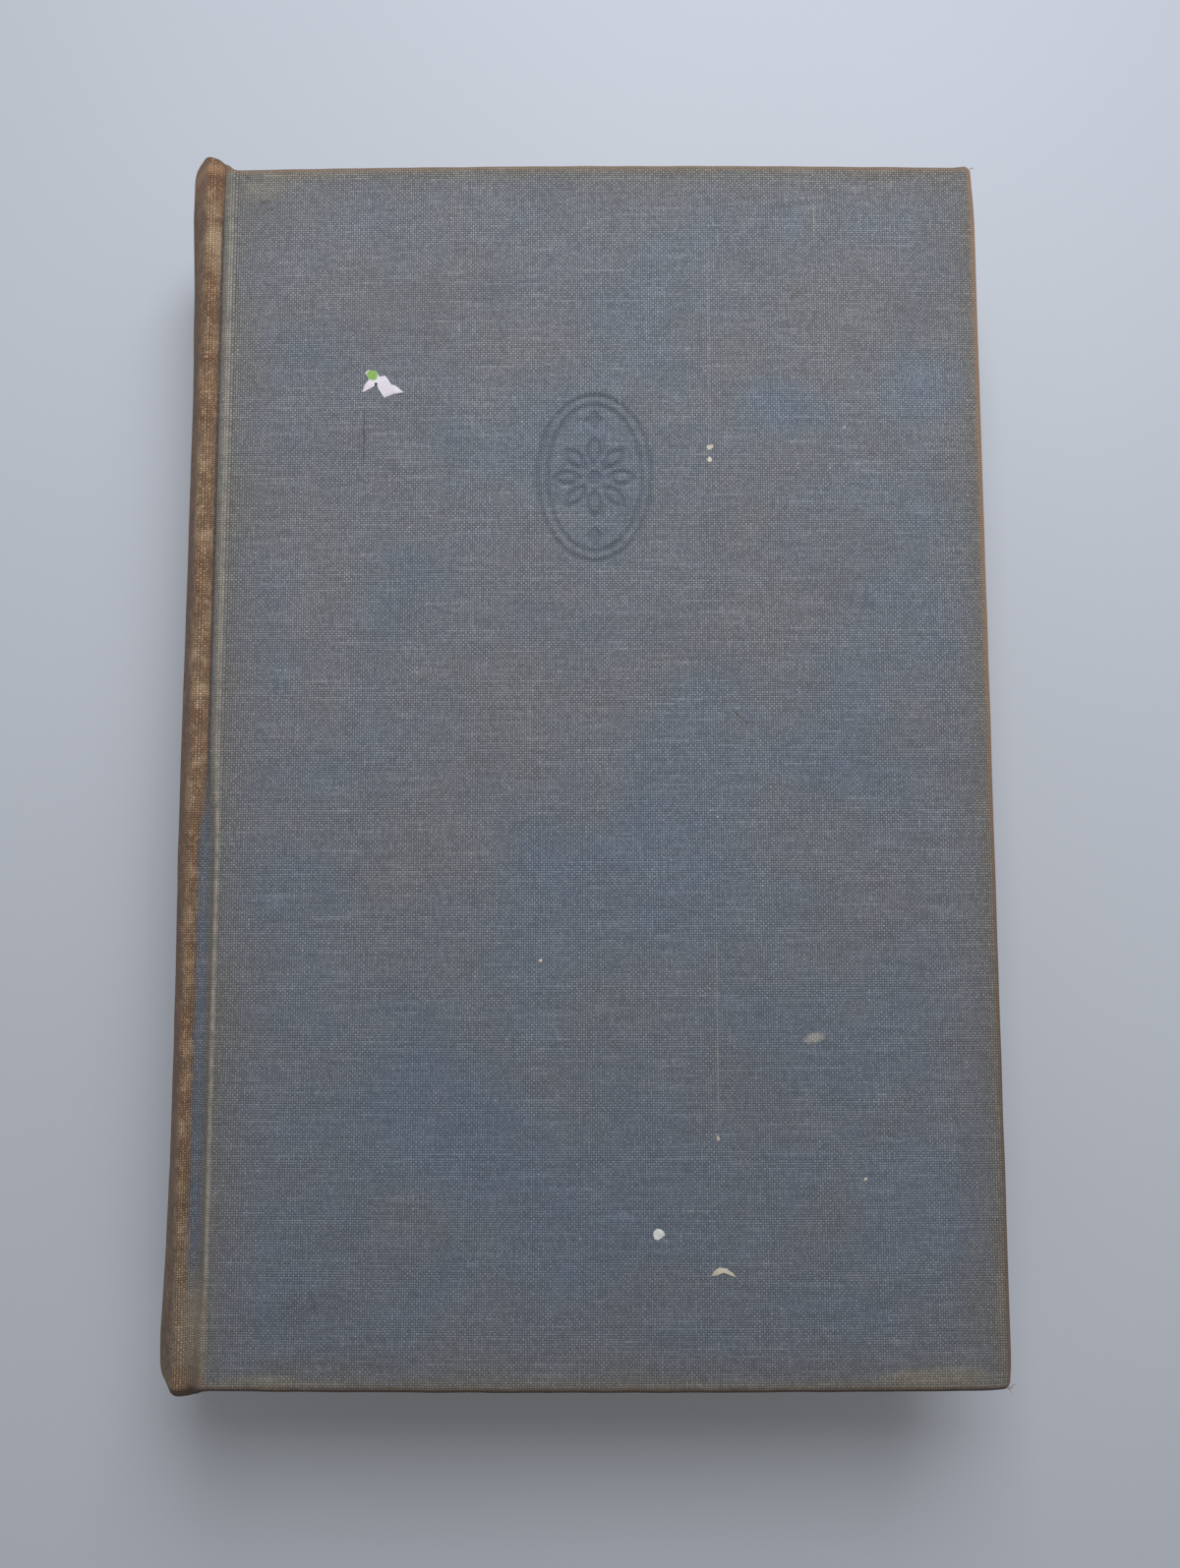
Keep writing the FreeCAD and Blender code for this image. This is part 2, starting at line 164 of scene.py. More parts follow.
class NodeBench:
    """Adds nodes to one tree and wires them."""

    def __init__(self, tree: bpy.types.NodeTree) -> None:
        """Keeps the tree that is worked on."""
        self.tree = tree

    def feed(self, socket: bpy.types.NodeSocket, value: Value) -> None:
        """Links a socket to another, or sets its value.

        Args:
            socket: the input.
            value: a socket, a number, a vector or a colour.
        """
        if isinstance(value, bpy.types.NodeSocket):
            self.tree.links.new(value, socket)
        elif socket.type == "RGBA" and len(value) == 3:
            socket.default_value = (*value, 1.0)
        else:
            socket.default_value = value

    def node(self, kind: str, inputs: Optional[dict] = None, **settings) -> bpy.types.Node:
        """Adds one node.

        Args:
            kind: the node's type.
            inputs: values or sockets by input name or index.
            settings: properties of the node.

        Returns:
            The node.
        """
        made = self.tree.nodes.new(kind)
        for name, setting in settings.items():
            setattr(made, name, setting)
        for key, value in (inputs or {}).items():
            self.feed(made.inputs[key], value)
        return made

    def math(self, operation: str, a: Value, b: Value = 0.0, c: Value = 0.0) -> bpy.types.NodeSocket:
        """One arithmetic step on numbers, and its result."""
        return self.node("ShaderNodeMath", {0: a, 1: b, 2: c}, operation=operation).outputs[0]

    def times(self, first: Value, *others: Value) -> bpy.types.NodeSocket:
        """Numbers multiplied in turn."""
        for other in others:
            first = self.math("MULTIPLY", first, other)
        return first

    def plus(self, a: Value, b: Value) -> bpy.types.NodeSocket:
        """The sum of two numbers."""
        return self.math("ADD", a, b)

    def minus(self, a: Value, b: Value) -> bpy.types.NodeSocket:
        """The first number less the second."""
        return self.math("SUBTRACT", a, b)

    def vector(self, operation: str, a: Value, b: Value = (0, 0, 0)) -> bpy.types.NodeSocket:
        """One arithmetic step on vectors, and its result."""
        return self.node("ShaderNodeVectorMath", {0: a, 1: b}, operation=operation).outputs[0]

    def split(self, vector: Value) -> list:
        """The three parts of a vector."""
        return list(self.node("ShaderNodeSeparateXYZ", {0: vector}).outputs)

    def join(self, x: Value, y: Value, z: Value = 0.0) -> bpy.types.NodeSocket:
        """A vector from its three parts."""
        return self.node("ShaderNodeCombineXYZ", {0: x, 1: y, 2: z}).outputs[0]

    def step(self, value: Value, low: Value, high: Value, start: float = 0.0, end: float = 1.0) -> bpy.types.NodeSocket:
        """A smooth step from start at low to end at high."""
        inputs = {"Value": value, "From Min": low, "From Max": high, "To Min": start, "To Max": end}
        return self.node("ShaderNodeMapRange", inputs, interpolation_type="SMOOTHSTEP").outputs[0]

    def step_mm(
        self, value: Value, low: float, high: float, start: float = 0.0, end: float = 1.0
    ) -> bpy.types.NodeSocket:
        """A smooth step between two places given in millimetres."""
        return self.step(value, low * MM, high * MM, start, end)

    def noise(self, vector: Value, scale: Value, detail: float = 3.0, rough: float = 0.55) -> bpy.types.NodeSocket:
        """Smooth noise from 0 to 1 at a number of swells per metre."""
        inputs = {"Vector": vector, "Scale": scale, "Detail": detail, "Roughness": rough}
        return self.node("ShaderNodeTexNoise", inputs).outputs[0]

    def sway(
        self, vector: Value, scale: Value, reach: Value, detail: float = 3.0, rough: float = 0.55
    ) -> bpy.types.NodeSocket:
        """Smooth noise about zero, over a reach from its lowest to its highest."""
        return self.times(self.minus(self.noise(vector, scale, detail, rough), 0.5), reach)

    def tint(self, factor: Value, a: Value, b: Value, blend: str = "MIX") -> bpy.types.NodeSocket:
        """Mixes two colours."""
        made = self.node("ShaderNodeMix", data_type="RGBA", blend_type=blend)
        for index, value in ((0, factor), (6, a), (7, b)):
            self.feed(made.inputs[index], value)
        return made.outputs[2]

    def shaded(self, colour: Value, shade: Value) -> bpy.types.NodeSocket:
        """A colour made darker or lighter by a number."""
        return self.tint(1.0, colour, self.join(shade, shade, shade), "MULTIPLY")

    def blend(self, factor: Value, a: Value, b: Value) -> bpy.types.NodeSocket:
        """Mixes two numbers."""
        made = self.node("ShaderNodeMix", data_type="FLOAT")
        for index, value in ((0, factor), (2, a), (3, b)):
            self.feed(made.inputs[index], value)
        return made.outputs[0]

    def group(self, tree: bpy.types.NodeTree, **inputs: Value) -> bpy.types.Node:
        """Places a node group, with inputs named in words joined by underscores."""
        made = self.node("ShaderNodeGroup", node_tree=tree)
        for name, value in inputs.items():
            self.feed(made.inputs[name.replace("_", " ").title()], value)
        return made


class EffectShelf:
    """The surface effects that several finishes share, each built once as a node group."""

    def __init__(self) -> None:
        """Builds every effect."""
        self.weave = self._weave()
        self.mottle = self._mottle()
        self.edges = self._edges()
        self.stain = self._stain()
        self.flecks = self._flecks()

    @staticmethod
    def _start(name: str, inputs: dict, outputs: Sequence[str]) -> tuple:
        """Opens a node group.

        Args:
            name: the group's name.
            inputs: default values by input name. A tuple is a vector.
            outputs: names of the numbers it gives out.

        Returns:
            The tree, its bench, its inputs by name and its output node.
        """
        tree = bpy.data.node_groups.new(name, "ShaderNodeTree")
        for key, value in inputs.items():
            kind = "NodeSocketVector" if isinstance(value, tuple) else "NodeSocketFloat"
            socket = tree.interface.new_socket(key, in_out="INPUT", socket_type=kind)
            socket.default_value = value
        for key in outputs:
            tree.interface.new_socket(key, in_out="OUTPUT", socket_type="NodeSocketFloat")
        bench = NodeBench(tree)
        return tree, bench, bench.node("NodeGroupInput").outputs, bench.node("NodeGroupOutput").inputs

    def _weave(self) -> bpy.types.NodeTree:
        """Plain weave: threads over and under each other, each with its own tone, some thicker.

        Returns:
            The node group.
        """
        inputs = {"Coordinates": (0.0, 0.0, 0.0), "Pitch": 0.00043, "Wander": 0.35, "Seed": 0.0}
        tree, b, given, out = self._start("plain weave", inputs, ("Height", "Tone", "Over", "Grain"))
        place = given["Coordinates"]
        drift = b.sway(place, 260.0, given["Wander"], 2.0)
        place = b.vector("DIVIDE", place, b.join(given["Pitch"], given["Pitch"], 1.0))
        x, y, _ = b.split(place)
        x, y = b.plus(x, drift), b.plus(y, b.times(drift, 0.7))
        row_x, row_y = b.math("FLOOR", x), b.math("FLOOR", y)
        round_x = b.math("SINE", b.times(b.minus(x, row_x), math.pi))
        round_y = b.math("SINE", b.times(b.minus(y, row_y), math.pi))
        over = b.math("FLOORED_MODULO", b.plus(row_x, row_y), 2.0)
        warp = b.times(round_x, b.math("MULTIPLY_ADD", round_y, 0.45, 0.55))
        weft = b.times(round_y, b.math("MULTIPLY_ADD", round_x, 0.45, 0.55))
        slow_x, slow_y = b.times(x, 0.035), b.times(y, 0.1)
        warp_place = b.join(b.times(row_x, 0.77), slow_y, given["Seed"])
        weft_place = b.join(slow_x, b.times(row_y, 0.77), b.plus(given["Seed"], 7.0))
        warp_tone, weft_tone = b.noise(warp_place, 1.0, 1.0), b.noise(weft_place, 1.0, 1.0)
        tone = b.step(b.blend(b.blend(over, 0.3, 1.0), warp_tone, weft_tone), 0.18, 0.82)
        height = b.blend(over, warp, weft)
        thick = b.step(tone, 0.7, 1.0, 0.0, 0.3)
        b.feed(out["Height"], b.plus(height, thick))
        b.feed(out["Tone"], tone)
        b.feed(out["Over"], over)
        crossing = b.node("ShaderNodeTexWhiteNoise", {"Vector": b.join(row_x, row_y, given["Seed"])})
        b.feed(out["Grain"], crossing.outputs["Value"])
        return tree

    def _mottle(self) -> bpy.types.NodeTree:
        """Soft patches.

        Returns:
            The node group.
        """
        inputs = {"Coordinates": (0.0, 0.0, 0.0), "Size": 0.03, "Amount": 0.5, "Soft": 0.12, "Seed": 0.0}
        tree, b, given, out = self._start("mottle", inputs, ("Mask",))
        place = b.vector("ADD", given["Coordinates"], b.join(given["Seed"], 0.37, given["Seed"]))
        cloud = b.noise(place, b.math("DIVIDE", 1.0, given["Size"]), 5.0, 0.6)
        edge = b.minus(0.75, b.times(given["Amount"], 0.5))
        low, high = b.minus(edge, given["Soft"]), b.plus(edge, given["Soft"])
        b.feed(out["Mask"], b.step(cloud, low, high))
        return tree

    def _edges(self) -> bpy.types.NodeTree:
        """How near a place is to a rectangle's sides, ragged, with a share for each side.

        Returns:
            The node group.
        """
        inputs = {
            "Coordinates": (0.0, 0.0, 0.0), "Low": (0.0, 0.0, 0.0), "High": (0.1, 0.1, 0.0), "Width": 0.002,
            "Ragged": 0.5, "Size": 0.004, "Joint": 1.0, "Fore Edge": 1.0, "Tail": 1.0, "Head": 1.0, "Seed": 0.0,
        }
        tree, b, given, out = self._start("edge band", inputs, ("Mask",))
        place = b.vector("ADD", given["Coordinates"], b.join(given["Seed"], given["Seed"], 0.0))
        scale, ragged = b.math("DIVIDE", 1.0, given["Size"]), b.times(given["Ragged"], 2.0)
        rough = b.sway(place, scale, ragged, 4.0, 0.62)
        reach = b.times(given["Width"], b.plus(1.0, rough))
        x, y, _ = b.split(given["Coordinates"])
        low_x, low_y, _ = b.split(given["Low"])
        high_x, high_y, _ = b.split(given["High"])
        mask = None
        for a, z, share in (
            (x, low_x, "Joint"), (high_x, x, "Fore Edge"), (y, low_y, "Tail"), (high_y, y, "Head"),
        ):
            away = b.math("ABSOLUTE", b.minus(a, z))
            band = b.times(b.step(away, 0.0, reach, 1.0, 0.0), given[share])
            mask = band if mask is None else b.math("MAXIMUM", mask, band)
        b.feed(out["Mask"], mask)
        return tree

    def _stain(self) -> bpy.types.NodeTree:
        """One soft-edged oval mark.

        Returns:
            The node group.
        """
        inputs = {
            "Coordinates": (0.0, 0.0, 0.0), "Centre": (0.0, 0.0, 0.0), "Half Length": 0.002, "Half Width": 0.001,
            "Turn": 0.0, "Soft": 0.4, "Ragged": 0.3, "Seed": 0.0,
        }
        tree, b, given, out = self._start("stain", inputs, ("Mask",))
        away = b.vector("SUBTRACT", given["Coordinates"], given["Centre"])
        x, y, _ = b.split(away)
        cosine, sine = b.math("COSINE", given["Turn"]), b.math("SINE", given["Turn"])
        along = b.plus(b.times(x, cosine), b.times(y, sine))
        across = b.minus(b.times(y, cosine), b.times(x, sine))
        along = b.math("DIVIDE", along, given["Half Length"])
        across = b.math("DIVIDE", across, given["Half Width"])
        radius = b.math("SQRT", b.plus(b.times(along, along), b.times(across, across)))
        place = b.vector("ADD", given["Coordinates"], b.join(given["Seed"], 0.0, 0.0))
        rough = b.sway(place, b.math("DIVIDE", 1.3, given["Half Width"]), given["Ragged"])
        radius = b.plus(radius, rough)
        low = b.minus(1.0, given["Soft"])
        b.feed(out["Mask"], b.step(radius, low, 1.0, 1.0, 0.0))
        return tree

    def _flecks(self) -> bpy.types.NodeTree:
        """Scattered small dots of dust or lint.

        Returns:
            The node group.
        """
        inputs = {"Coordinates": (0.0, 0.0, 0.0), "Spacing": 0.006, "Size": 0.0003, "Share": 0.5, "Seed": 0.0}
        tree, b, given, out = self._start("flecks", inputs, ("Mask",))
        place = b.vector("ADD", given["Coordinates"], b.join(given["Seed"], 0.0, 0.0))
        cells = b.node("ShaderNodeTexVoronoi", {"Vector": place, "Scale": b.math("DIVIDE", 1.0, given["Spacing"])})
        away = b.times(cells.outputs["Distance"], given["Spacing"])
        pick, size, _ = b.split(cells.outputs["Color"])
        size = b.times(given["Size"], b.plus(0.4, size))
        dot = b.step(away, b.times(size, 0.5), size, 1.0, 0.0)
        b.feed(out["Mask"], b.times(dot, b.math("LESS_THAN", pick, given["Share"])))
        return tree


# Finishes


@dataclass(frozen=True)
class Mark:
    """One stain, smudge or scratch, placed in the flat cloth's own millimetres."""

    x: float
    y: float
    half_length: float
    half_width: float
    colour: Colour
    strength: float = 0.5
    turn: float = 0.0
    soft: float = 0.7
    ragged: float = 0.5


class Finish:
    """A material in the making, on one set of shared effects."""

    def __init__(self, name: str, effects: EffectShelf, uses_map: bool) -> None:
        """Opens a material.

        Args:
            name: the material's name.
            effects: the shared node groups.
            uses_map: whether the pattern follows the piece's own flat map.
        """
        self.material = bpy.data.materials.new(name)
        self.material.use_nodes = True
        self.bench = NodeBench(self.material.node_tree)
        self.shader = self.material.node_tree.nodes["Principled BSDF"]
        self.effects = effects
        if uses_map:
            self.place = self.bench.node("ShaderNodeUVMap", uv_map="flat").outputs[0]
        else:
            self.place = self.bench.node("ShaderNodeTexCoord").outputs["Object"]

    def mask(self, effect: str, **inputs: Value) -> bpy.types.NodeSocket:
        """The mask of one shared effect at this finish's places.

        Args:
            effect: the effect's name.
            inputs: its settings.

        Returns:
            The mask, from 0 to 1.
        """
        inputs.setdefault("coordinates", self.place)
        return self.bench.group(getattr(self.effects, effect), **inputs).outputs[0]

    def marks(self, colour: Value, marks: Sequence[Mark]) -> Value:
        """Lays marks over a colour.

        Args:
            colour: the colour so far.
            marks: the marks, from the lowest to the topmost.

        Returns:
            The colour with the marks on it.
        """
        for index, mark in enumerate(marks):
            mask = self.mask(
                "stain", centre=(mark.x * MM, mark.y * MM, 0.0), half_length=mark.half_length * MM,
                half_width=mark.half_width * MM, turn=mark.turn, soft=mark.soft, ragged=mark.ragged,
                seed=0.13 * index,
            )
            colour = self.bench.tint(self.bench.times(mask, mark.strength), colour, mark.colour)
        return colour

    def close(
        self, colour: Value, roughness: Value, height: Value, depth: float, **constants: float
    ) -> bpy.types.Material:
        """Wires the finish into its shader.

        Args:
            colour: base colour.
            roughness: from 0 to 1.
            height: relief from 0 to 1.
            depth: millimetres that a height of 1 stands for.
            constants: other inputs of the shader, set directly.

        Returns:
            The material.
        """
        b = self.bench
        b.feed(self.shader.inputs["Base Color"], colour)
        b.feed(self.shader.inputs["Roughness"], roughness)
        bump = b.node("ShaderNodeBump", {"Height": height, "Distance": depth * MM, "Strength": 1.0})
        b.feed(self.shader.inputs["Normal"], bump.outputs[0])
        for name, value in constants.items():
            self.shader.inputs[name.replace("_", " ")].default_value = value
        return self.material


@dataclass(frozen=True)
class GrooveMap:
    """Where the joint groove's features lie on the flat cloth, as places across it in millimetres."""

    crest: float
    slope: float
    valley: float
    brown_open: float
    brown_shut: float
    ridge: float
    shut_from: float = -19.0
    shut_to: float = 3.0


@dataclass(frozen=True)
class ClothMasks:
    """Where the layers of a cloth's colour lie, as numbers that several of them share."""

    across: Value
    along: Value
    drifted: Value
    coarse: Value
    shut: Value
    above_tail: Value
    near_tail: Value
    near_head: Value
    on_spine: Value
    patchy: Value
    pressed: Value


@dataclass(frozen=True)
class BookCloth:
    """Plain-woven book cloth: dyed, faded, rubbed pale at the thread crossings, toned along its edges.

    The spine has turned brown in the light, and the groove has kept its first blue where it stands open. Shade is also
    painted into the colour: where the back turns away from the light, in the groove's crease, along the tail edge and
    between the threads.
    """

    name: str
    dye: Colour = linear(97, 102, 111)
    bluer: Colour = linear(91, 102, 118)
    browner: Colour = linear(104, 101, 99)
    tail_blue: Colour = linear(84, 99, 120)
    edge_grey: Colour = linear(96, 92, 86)
    toned: Colour = linear(97, 90, 80)
    stamped: Colour = linear(80, 85, 96)
    # Painted shade between the threads of the cover.
    gap: Colour = linear(54, 57, 62)
    rubbed: Colour = linear(156, 156, 156)
    worn: Colour = linear(140, 106, 76)
    tail_worn: Colour = linear(88, 66, 52)
    bare: Colour = linear(160, 148, 130)
    # Dirt, and painted shade along the tail edge.
    soil: Colour = linear(42, 32, 27)
    dust: Colour = linear(176, 174, 168)
    wall: Colour = linear(106, 102, 93)
    groove_blue: Colour = linear(78, 86, 101)
    # Painted shade along the valley of the groove's crease.
    crease: Colour = linear(46, 44, 52)
    crest: Colour = linear(166, 160, 148)
    end_rubbed: Colour = linear(116, 106, 92)
    end_brown: Colour = linear(98, 78, 60)
    tan: Colour = linear(152, 132, 108)
    brown: Colour = linear(114, 89, 68)
    spine_brown_and_turned_away_shade: Colour = linear(98, 64, 41)
    # The spine's browning, made darker as painted shade where the back turns away from the light.
    tail_darker_brown: Colour = linear(102, 88, 77)
    cap_brown: Colour = linear(120, 80, 50)
    cap_pale: Colour = linear(158, 132, 102)
    blot: Colour = linear(80, 54, 38)
    grub: Colour = linear(62, 52, 45)
    crackle: Colour = linear(168, 146, 120)
    # Painted shade between the threads of the spine.
    spine_thread_gap_shade: Colour = linear(62, 44, 32)
    spine_rubbed: Colour = linear(178, 154, 128)
    pitch: float = 0.42
    seed: float = 0.0
    spine_seed: float = 1.7
    wear: Wear = Wear.HEAVY
    marks: tuple = ()

    def _rim(self, finish: Finish, plan: BookPlan, later: float, **inputs: float) -> Value:
        """A ragged band along the cover's edges.

        Args:
            finish: the material in the making.
            plan: where the cover's edges are.
            later: what is added to the seed.
            inputs: the band's width, its raggedness and each side's share.

        Returns:
            The band's mask.
        """
        low, high = (plan.joint_x * MM, plan.tail_y * MM, 0.0), (plan.fore_x * MM, plan.head_y * MM, 0.0)
        return finish.mask("edges", low=low, high=high, seed=self.seed + later, **inputs)

    def _woven(self, finish: Finish, colour: Value, gap: Value, rubbed: Value, rub: Value, crisp: Value) -> tuple:
        """Breaks a flat colour up into threads.

        Args:
            finish: the material in the making.
            colour: the colour of the cloth.
            gap: the colour painted between the threads as their shade.
            rubbed: the colour of the rubbed crossings.
            rub: how much is rubbed, from 0 to 1.
            crisp: how strong the painted shade between the threads is, from 0 to 1.

        Returns:
            The woven colour, and the threads' height.
        """
        b = finish.bench
        weave = b.group(finish.effects.weave, coordinates=finish.place, pitch=self.pitch * MM)
        height, tone, over, grain = (weave.outputs[name] for name in ("Height", "Tone", "Over", "Grain"))
        by_thread = b.node("ShaderNodeMapRange", {"Value": tone, "To Min": 0.8, "To Max": 1.2}).outputs[0]
        by_crossing = b.node("ShaderNodeMapRange", {"Value": grain, "To Min": 0.88, "To Max": 1.12}).outputs[0]
        colour = b.shaded(colour, b.times(by_thread, by_crossing, b.blend(over, 1.1, 0.9)))
        # Painted shade: the low places between the threads take the gap colour.
        colour = b.tint(b.times(b.step(height, 0.1, 0.75, 1.0, 0.0), crisp), colour, gap)
        uneven_rub = b.times(b.step(grain, 0.1, 0.95, 0.35, 1.0), rub)
        tip = b.times(b.step(height, 0.45, 0.95), uneven_rub, b.blend(over, 1.0, 0.55))
        return b.tint(tip, colour, rubbed), height

    def _cover_colour(self, finish: Finish, plan: BookPlan) -> Value:
        """The colour of a cover before it is broken up into threads.

        Args:
            finish: the material in the making.
            plan: where the cover's edges are.

        Returns:
            The flat colour.
        """
        b = finish.bench
        blue = finish.mask("mottle", size=0.045, amount=0.5, soft=0.2, seed=self.seed)
        colour = b.tint(blue, self.dye, self.bluer)
        brown = finish.mask("mottle", size=0.028, amount=0.5, soft=0.14, seed=self.seed + 0.6)
        colour = b.tint(b.times(brown, 0.5), colour, self.browner)
        _, along, _ = b.split(finish.place)
        fine = b.step(b.noise(finish.place, 170.0, 5.0, 0.7), 0.3, 0.7, 0.93, 1.07)
        # Fine changes of tone, and darker towards the tail.
        colour = b.shaded(colour, b.times(fine, b.step(along, plan.tail_y * MM, 0.02, 0.88, 1.0)))
        low_blue = b.times(b.step(along, -0.1, 0.06, 0.45, 0.1), b.blend(blue, 0.5, 1.0))
        colour = b.tint(low_blue, colour, self.tail_blue)
        colour = finish.marks(colour, self.marks)
        shares = {"joint": 1.0, "head": 0.8, "tail": 0.8, "fore_edge": 0.9}
        wide = self._rim(finish, plan, 0.5, width=0.012, ragged=0.5, size=0.016, **shares)
        colour = b.tint(b.times(wide, 0.5), colour, self.edge_grey)
        band = self._rim(finish, plan, 0.0, width=0.0042, ragged=0.5, size=0.009, joint=0.5)
        return b.tint(b.times(band, 0.75), colour, self.toned)

    def _spine_colour(self, finish: Finish, plan: BookPlan, groove: GrooveMap) -> Value:
        """The colour of the browned spine, painted darker as shade where the back turns away from the light, before it
        is broken up into threads.

        Args:
            finish: the material in the making.
            plan: where the cover's edges are.
            groove: where the groove lies on the flat cloth.

        Returns:
            The flat colour.
        """
        b = finish.bench
        across, along, _ = b.split(finish.place)
        around = b.node("ShaderNodeAttribute", attribute_name="around").outputs["Fac"]
        place = b.join(around, along)
        seed = self.spine_seed
        patches = finish.mask("mottle", coordinates=place, size=0.009, amount=0.55, soft=0.14, seed=seed)
        colour = b.tint(patches, self.tan, self.brown)
        # Part browning, part painted shade: past the ridge, the back turns away from the light and is painted a darker
        # brown.
        edge = b.plus(across, b.sway(place, 140.0, 0.008, 5.0, 0.65))
        deep = b.step_mm(edge, groove.ridge - 3.6, groove.ridge + 0.3, 0.85, 0.0)
        colour = b.tint(deep, colour, self.spine_brown_and_turned_away_shade)
        # Darker towards the tail.
        away = b.plus(along, b.sway(place, 60.0, 0.05, 5.0))
        darker_to_tail = b.step_mm(away, plan.tail_y + 6, plan.tail_y + 80, 0.75, 0.0)
        colour = b.tint(darker_to_tail, colour, self.tail_darker_brown)
        cap = b.step_mm(along, plan.head_y - 7.0, plan.head_y - 1.0, 0.0, 0.8)
        colour = b.tint(cap, colour, self.cap_brown)
        spot = ((groove.valley + 0.6) * MM, (plan.head_y - 6.5) * MM, 0.0)
        pale = finish.mask("stain", centre=spot, half_length=2.6 * MM, half_width=3.6 * MM, soft=0.8, ragged=0.6)
        colour = b.tint(b.times(pale, 0.6), colour, self.cap_pale)
        blotch = finish.mask("mottle", coordinates=place, size=0.007, amount=0.56, soft=0.07, seed=seed + 0.4)
        colour = b.tint(b.times(blotch, 0.7), colour, self.blot)
        grubby = finish.mask("mottle", coordinates=place, size=0.0045, amount=0.52, soft=0.08, seed=seed + 0.9)
        grubby = b.times(grubby, b.step_mm(along, plan.tail_y + 2, plan.tail_y + 34, 0.65, 0.0))
        colour = b.tint(grubby, colour, self.grub)
        lines = b.noise(b.join(b.times(around, 1300.0), b.times(along, 420.0)), 1.0, 3.0)
        return b.tint(b.step(lines, 0.5, 0.72, 0.0, 0.5), colour, self.crackle)

    @staticmethod
    def _masks(finish: Finish, plan: BookPlan, groove: GrooveMap) -> ClothMasks:
        """Finds the groove, the spine and both ends on the flat cloth, with ragged borders.

        Args:
            finish: the material in the making.
            plan: where the cover's edges are.
            groove: where the groove lies on the flat cloth.

        Returns:
            The masks.
        """
        b, place = finish.bench, finish.place
        across, along, _ = b.split(place)
        drifted = b.plus(along, b.sway(place, 130.0, 0.012))
        shut = b.step_mm(drifted, groove.shut_from, groove.shut_to)
        above_tail = b.step_mm(drifted, plan.tail_y + 13, plan.tail_y + 24)
        near_head = b.step_mm(drifted, plan.head_y - 12, plan.head_y - 4)
        coarse = b.sway(place, 260.0, 0.001, 4.0, 0.65)
        border = b.plus(b.blend(shut, groove.brown_open * MM, groove.brown_shut * MM), coarse)
        head_border = b.plus(coarse, (0.45 * groove.crest + 0.55 * groove.brown_shut) * MM)
        border = b.blend(near_head, border, head_border)
        return ClothMasks(
            across=across, along=along, drifted=drifted, coarse=coarse, shut=shut, above_tail=above_tail,
            near_tail=b.minus(1.0, above_tail), near_head=near_head,
            on_spine=b.step(b.minus(across, border), -0.0006, 0.0006, 1.0, 0.0),
            patchy=b.step(b.noise(place, 300.0, 4.0, 0.65), 0.3, 0.6),
            pressed=b.node("ShaderNodeAttribute", attribute_name="pressed").outputs["Fac"],
        )

    def _joined_colour(self, finish: Finish, m: ClothMasks, plan: BookPlan, groove: GrooveMap) -> Value:
        """The covers' colour and the spine's, met in the groove with its blue, the painted shade of its crease and its
        ends.

        Args:
            finish: the material in the making.
            m: the shared masks.
            plan: where the cover's edges are.
            groove: where the groove lies on the flat cloth.

        Returns:
            The flat colour of the whole cloth.
        """
        b = finish.bench
        cover, spine = self._cover_colour(finish, plan), self._spine_colour(finish, plan, groove)
        wall = b.step_mm(m.across, groove.crest - 0.1, groove.crest + 0.5, 1.0, 0.0)
        colour = b.tint(b.times(wall, b.blend(m.patchy, 0.45, 0.8)), cover, self.wall)
        ragged = b.plus(m.across, m.coarse)
        in_groove = b.step_mm(ragged, groove.slope - 0.5, groove.slope + 0.3, 1.0, 0.0)
        kept_blue = b.times(b.minus(1.0, m.shut), m.above_tail)
        blue = b.times(in_groove, kept_blue, b.blend(m.patchy, 0.55, 0.95))
        colour = b.tint(blue, colour, self.groove_blue)
        colour = b.tint(m.on_spine, colour, spine)
        off_cover = b.step_mm(m.across, groove.crest, groove.crest + 0.9, 1.0, 0.0)
        past_ridge = b.step_mm(ragged, groove.ridge - 2.8, groove.ridge + 1.2)
        rubbed_end = b.times(m.near_tail, past_ridge, off_cover)
        colour = b.tint(b.times(rubbed_end, b.blend(m.patchy, 0.75, 0.95)), colour, self.end_rubbed)
        low_end = b.step_mm(m.drifted, plan.tail_y + 1.0, plan.tail_y + 6.5, 0.9, 0.0)
        colour = b.tint(b.times(low_end, off_cover), colour, self.end_brown)
        # Painted shade: a dark line along the valley of the shut groove, where the crease lies in shade.
        from_valley = b.math("ABSOLUTE", b.minus(m.across, (groove.valley + 0.1) * MM))
        crease = b.step(from_valley, 0.0004, 0.001, 1.0, 0.0)
        crease = b.times(crease, b.times(m.shut, b.math("MULTIPLY_ADD", m.near_head, -0.8, 0.9)))
        colour = b.tint(crease, colour, self.crease)
        return b.tint(b.times(m.pressed, 0.4), colour, self.stamped)

    def _threaded_colour(self, finish: Finish, m: ClothMasks, colour: Value) -> tuple:
        """Breaks the colour up into threads, with the cover's rubbing or the spine's and painted shade between the
        threads, and gives their height.

        Args:
            finish: the material in the making.
            m: the shared masks.
            colour: the flat colour of the whole cloth.

        Returns:
            The woven colour, and the threads' height.
        """
        b = finish.bench
        rub = b.times(finish.mask("mottle", size=0.02, amount=0.9, soft=0.3, seed=self.seed + 0.2), 0.85)
        faded = b.step(m.along, -0.12, 0.09, 0.4, 0.78)
        rub = b.times(rub, faded, b.minus(1.0, b.times(m.pressed, 0.7)))
        # Painted shade between the threads, for the cover and for the spine.
        gap = b.tint(m.on_spine, self.gap, self.spine_thread_gap_shade)
        rubbed = b.tint(m.on_spine, self.rubbed, self.spine_rubbed)
        crisp = b.blend(m.on_spine, b.step(m.along, -0.12, 0.05, 0.6, 0.78), 0.7)
        return self._woven(finish, colour, gap, rubbed, b.blend(m.on_spine, rub, 0.45), crisp)

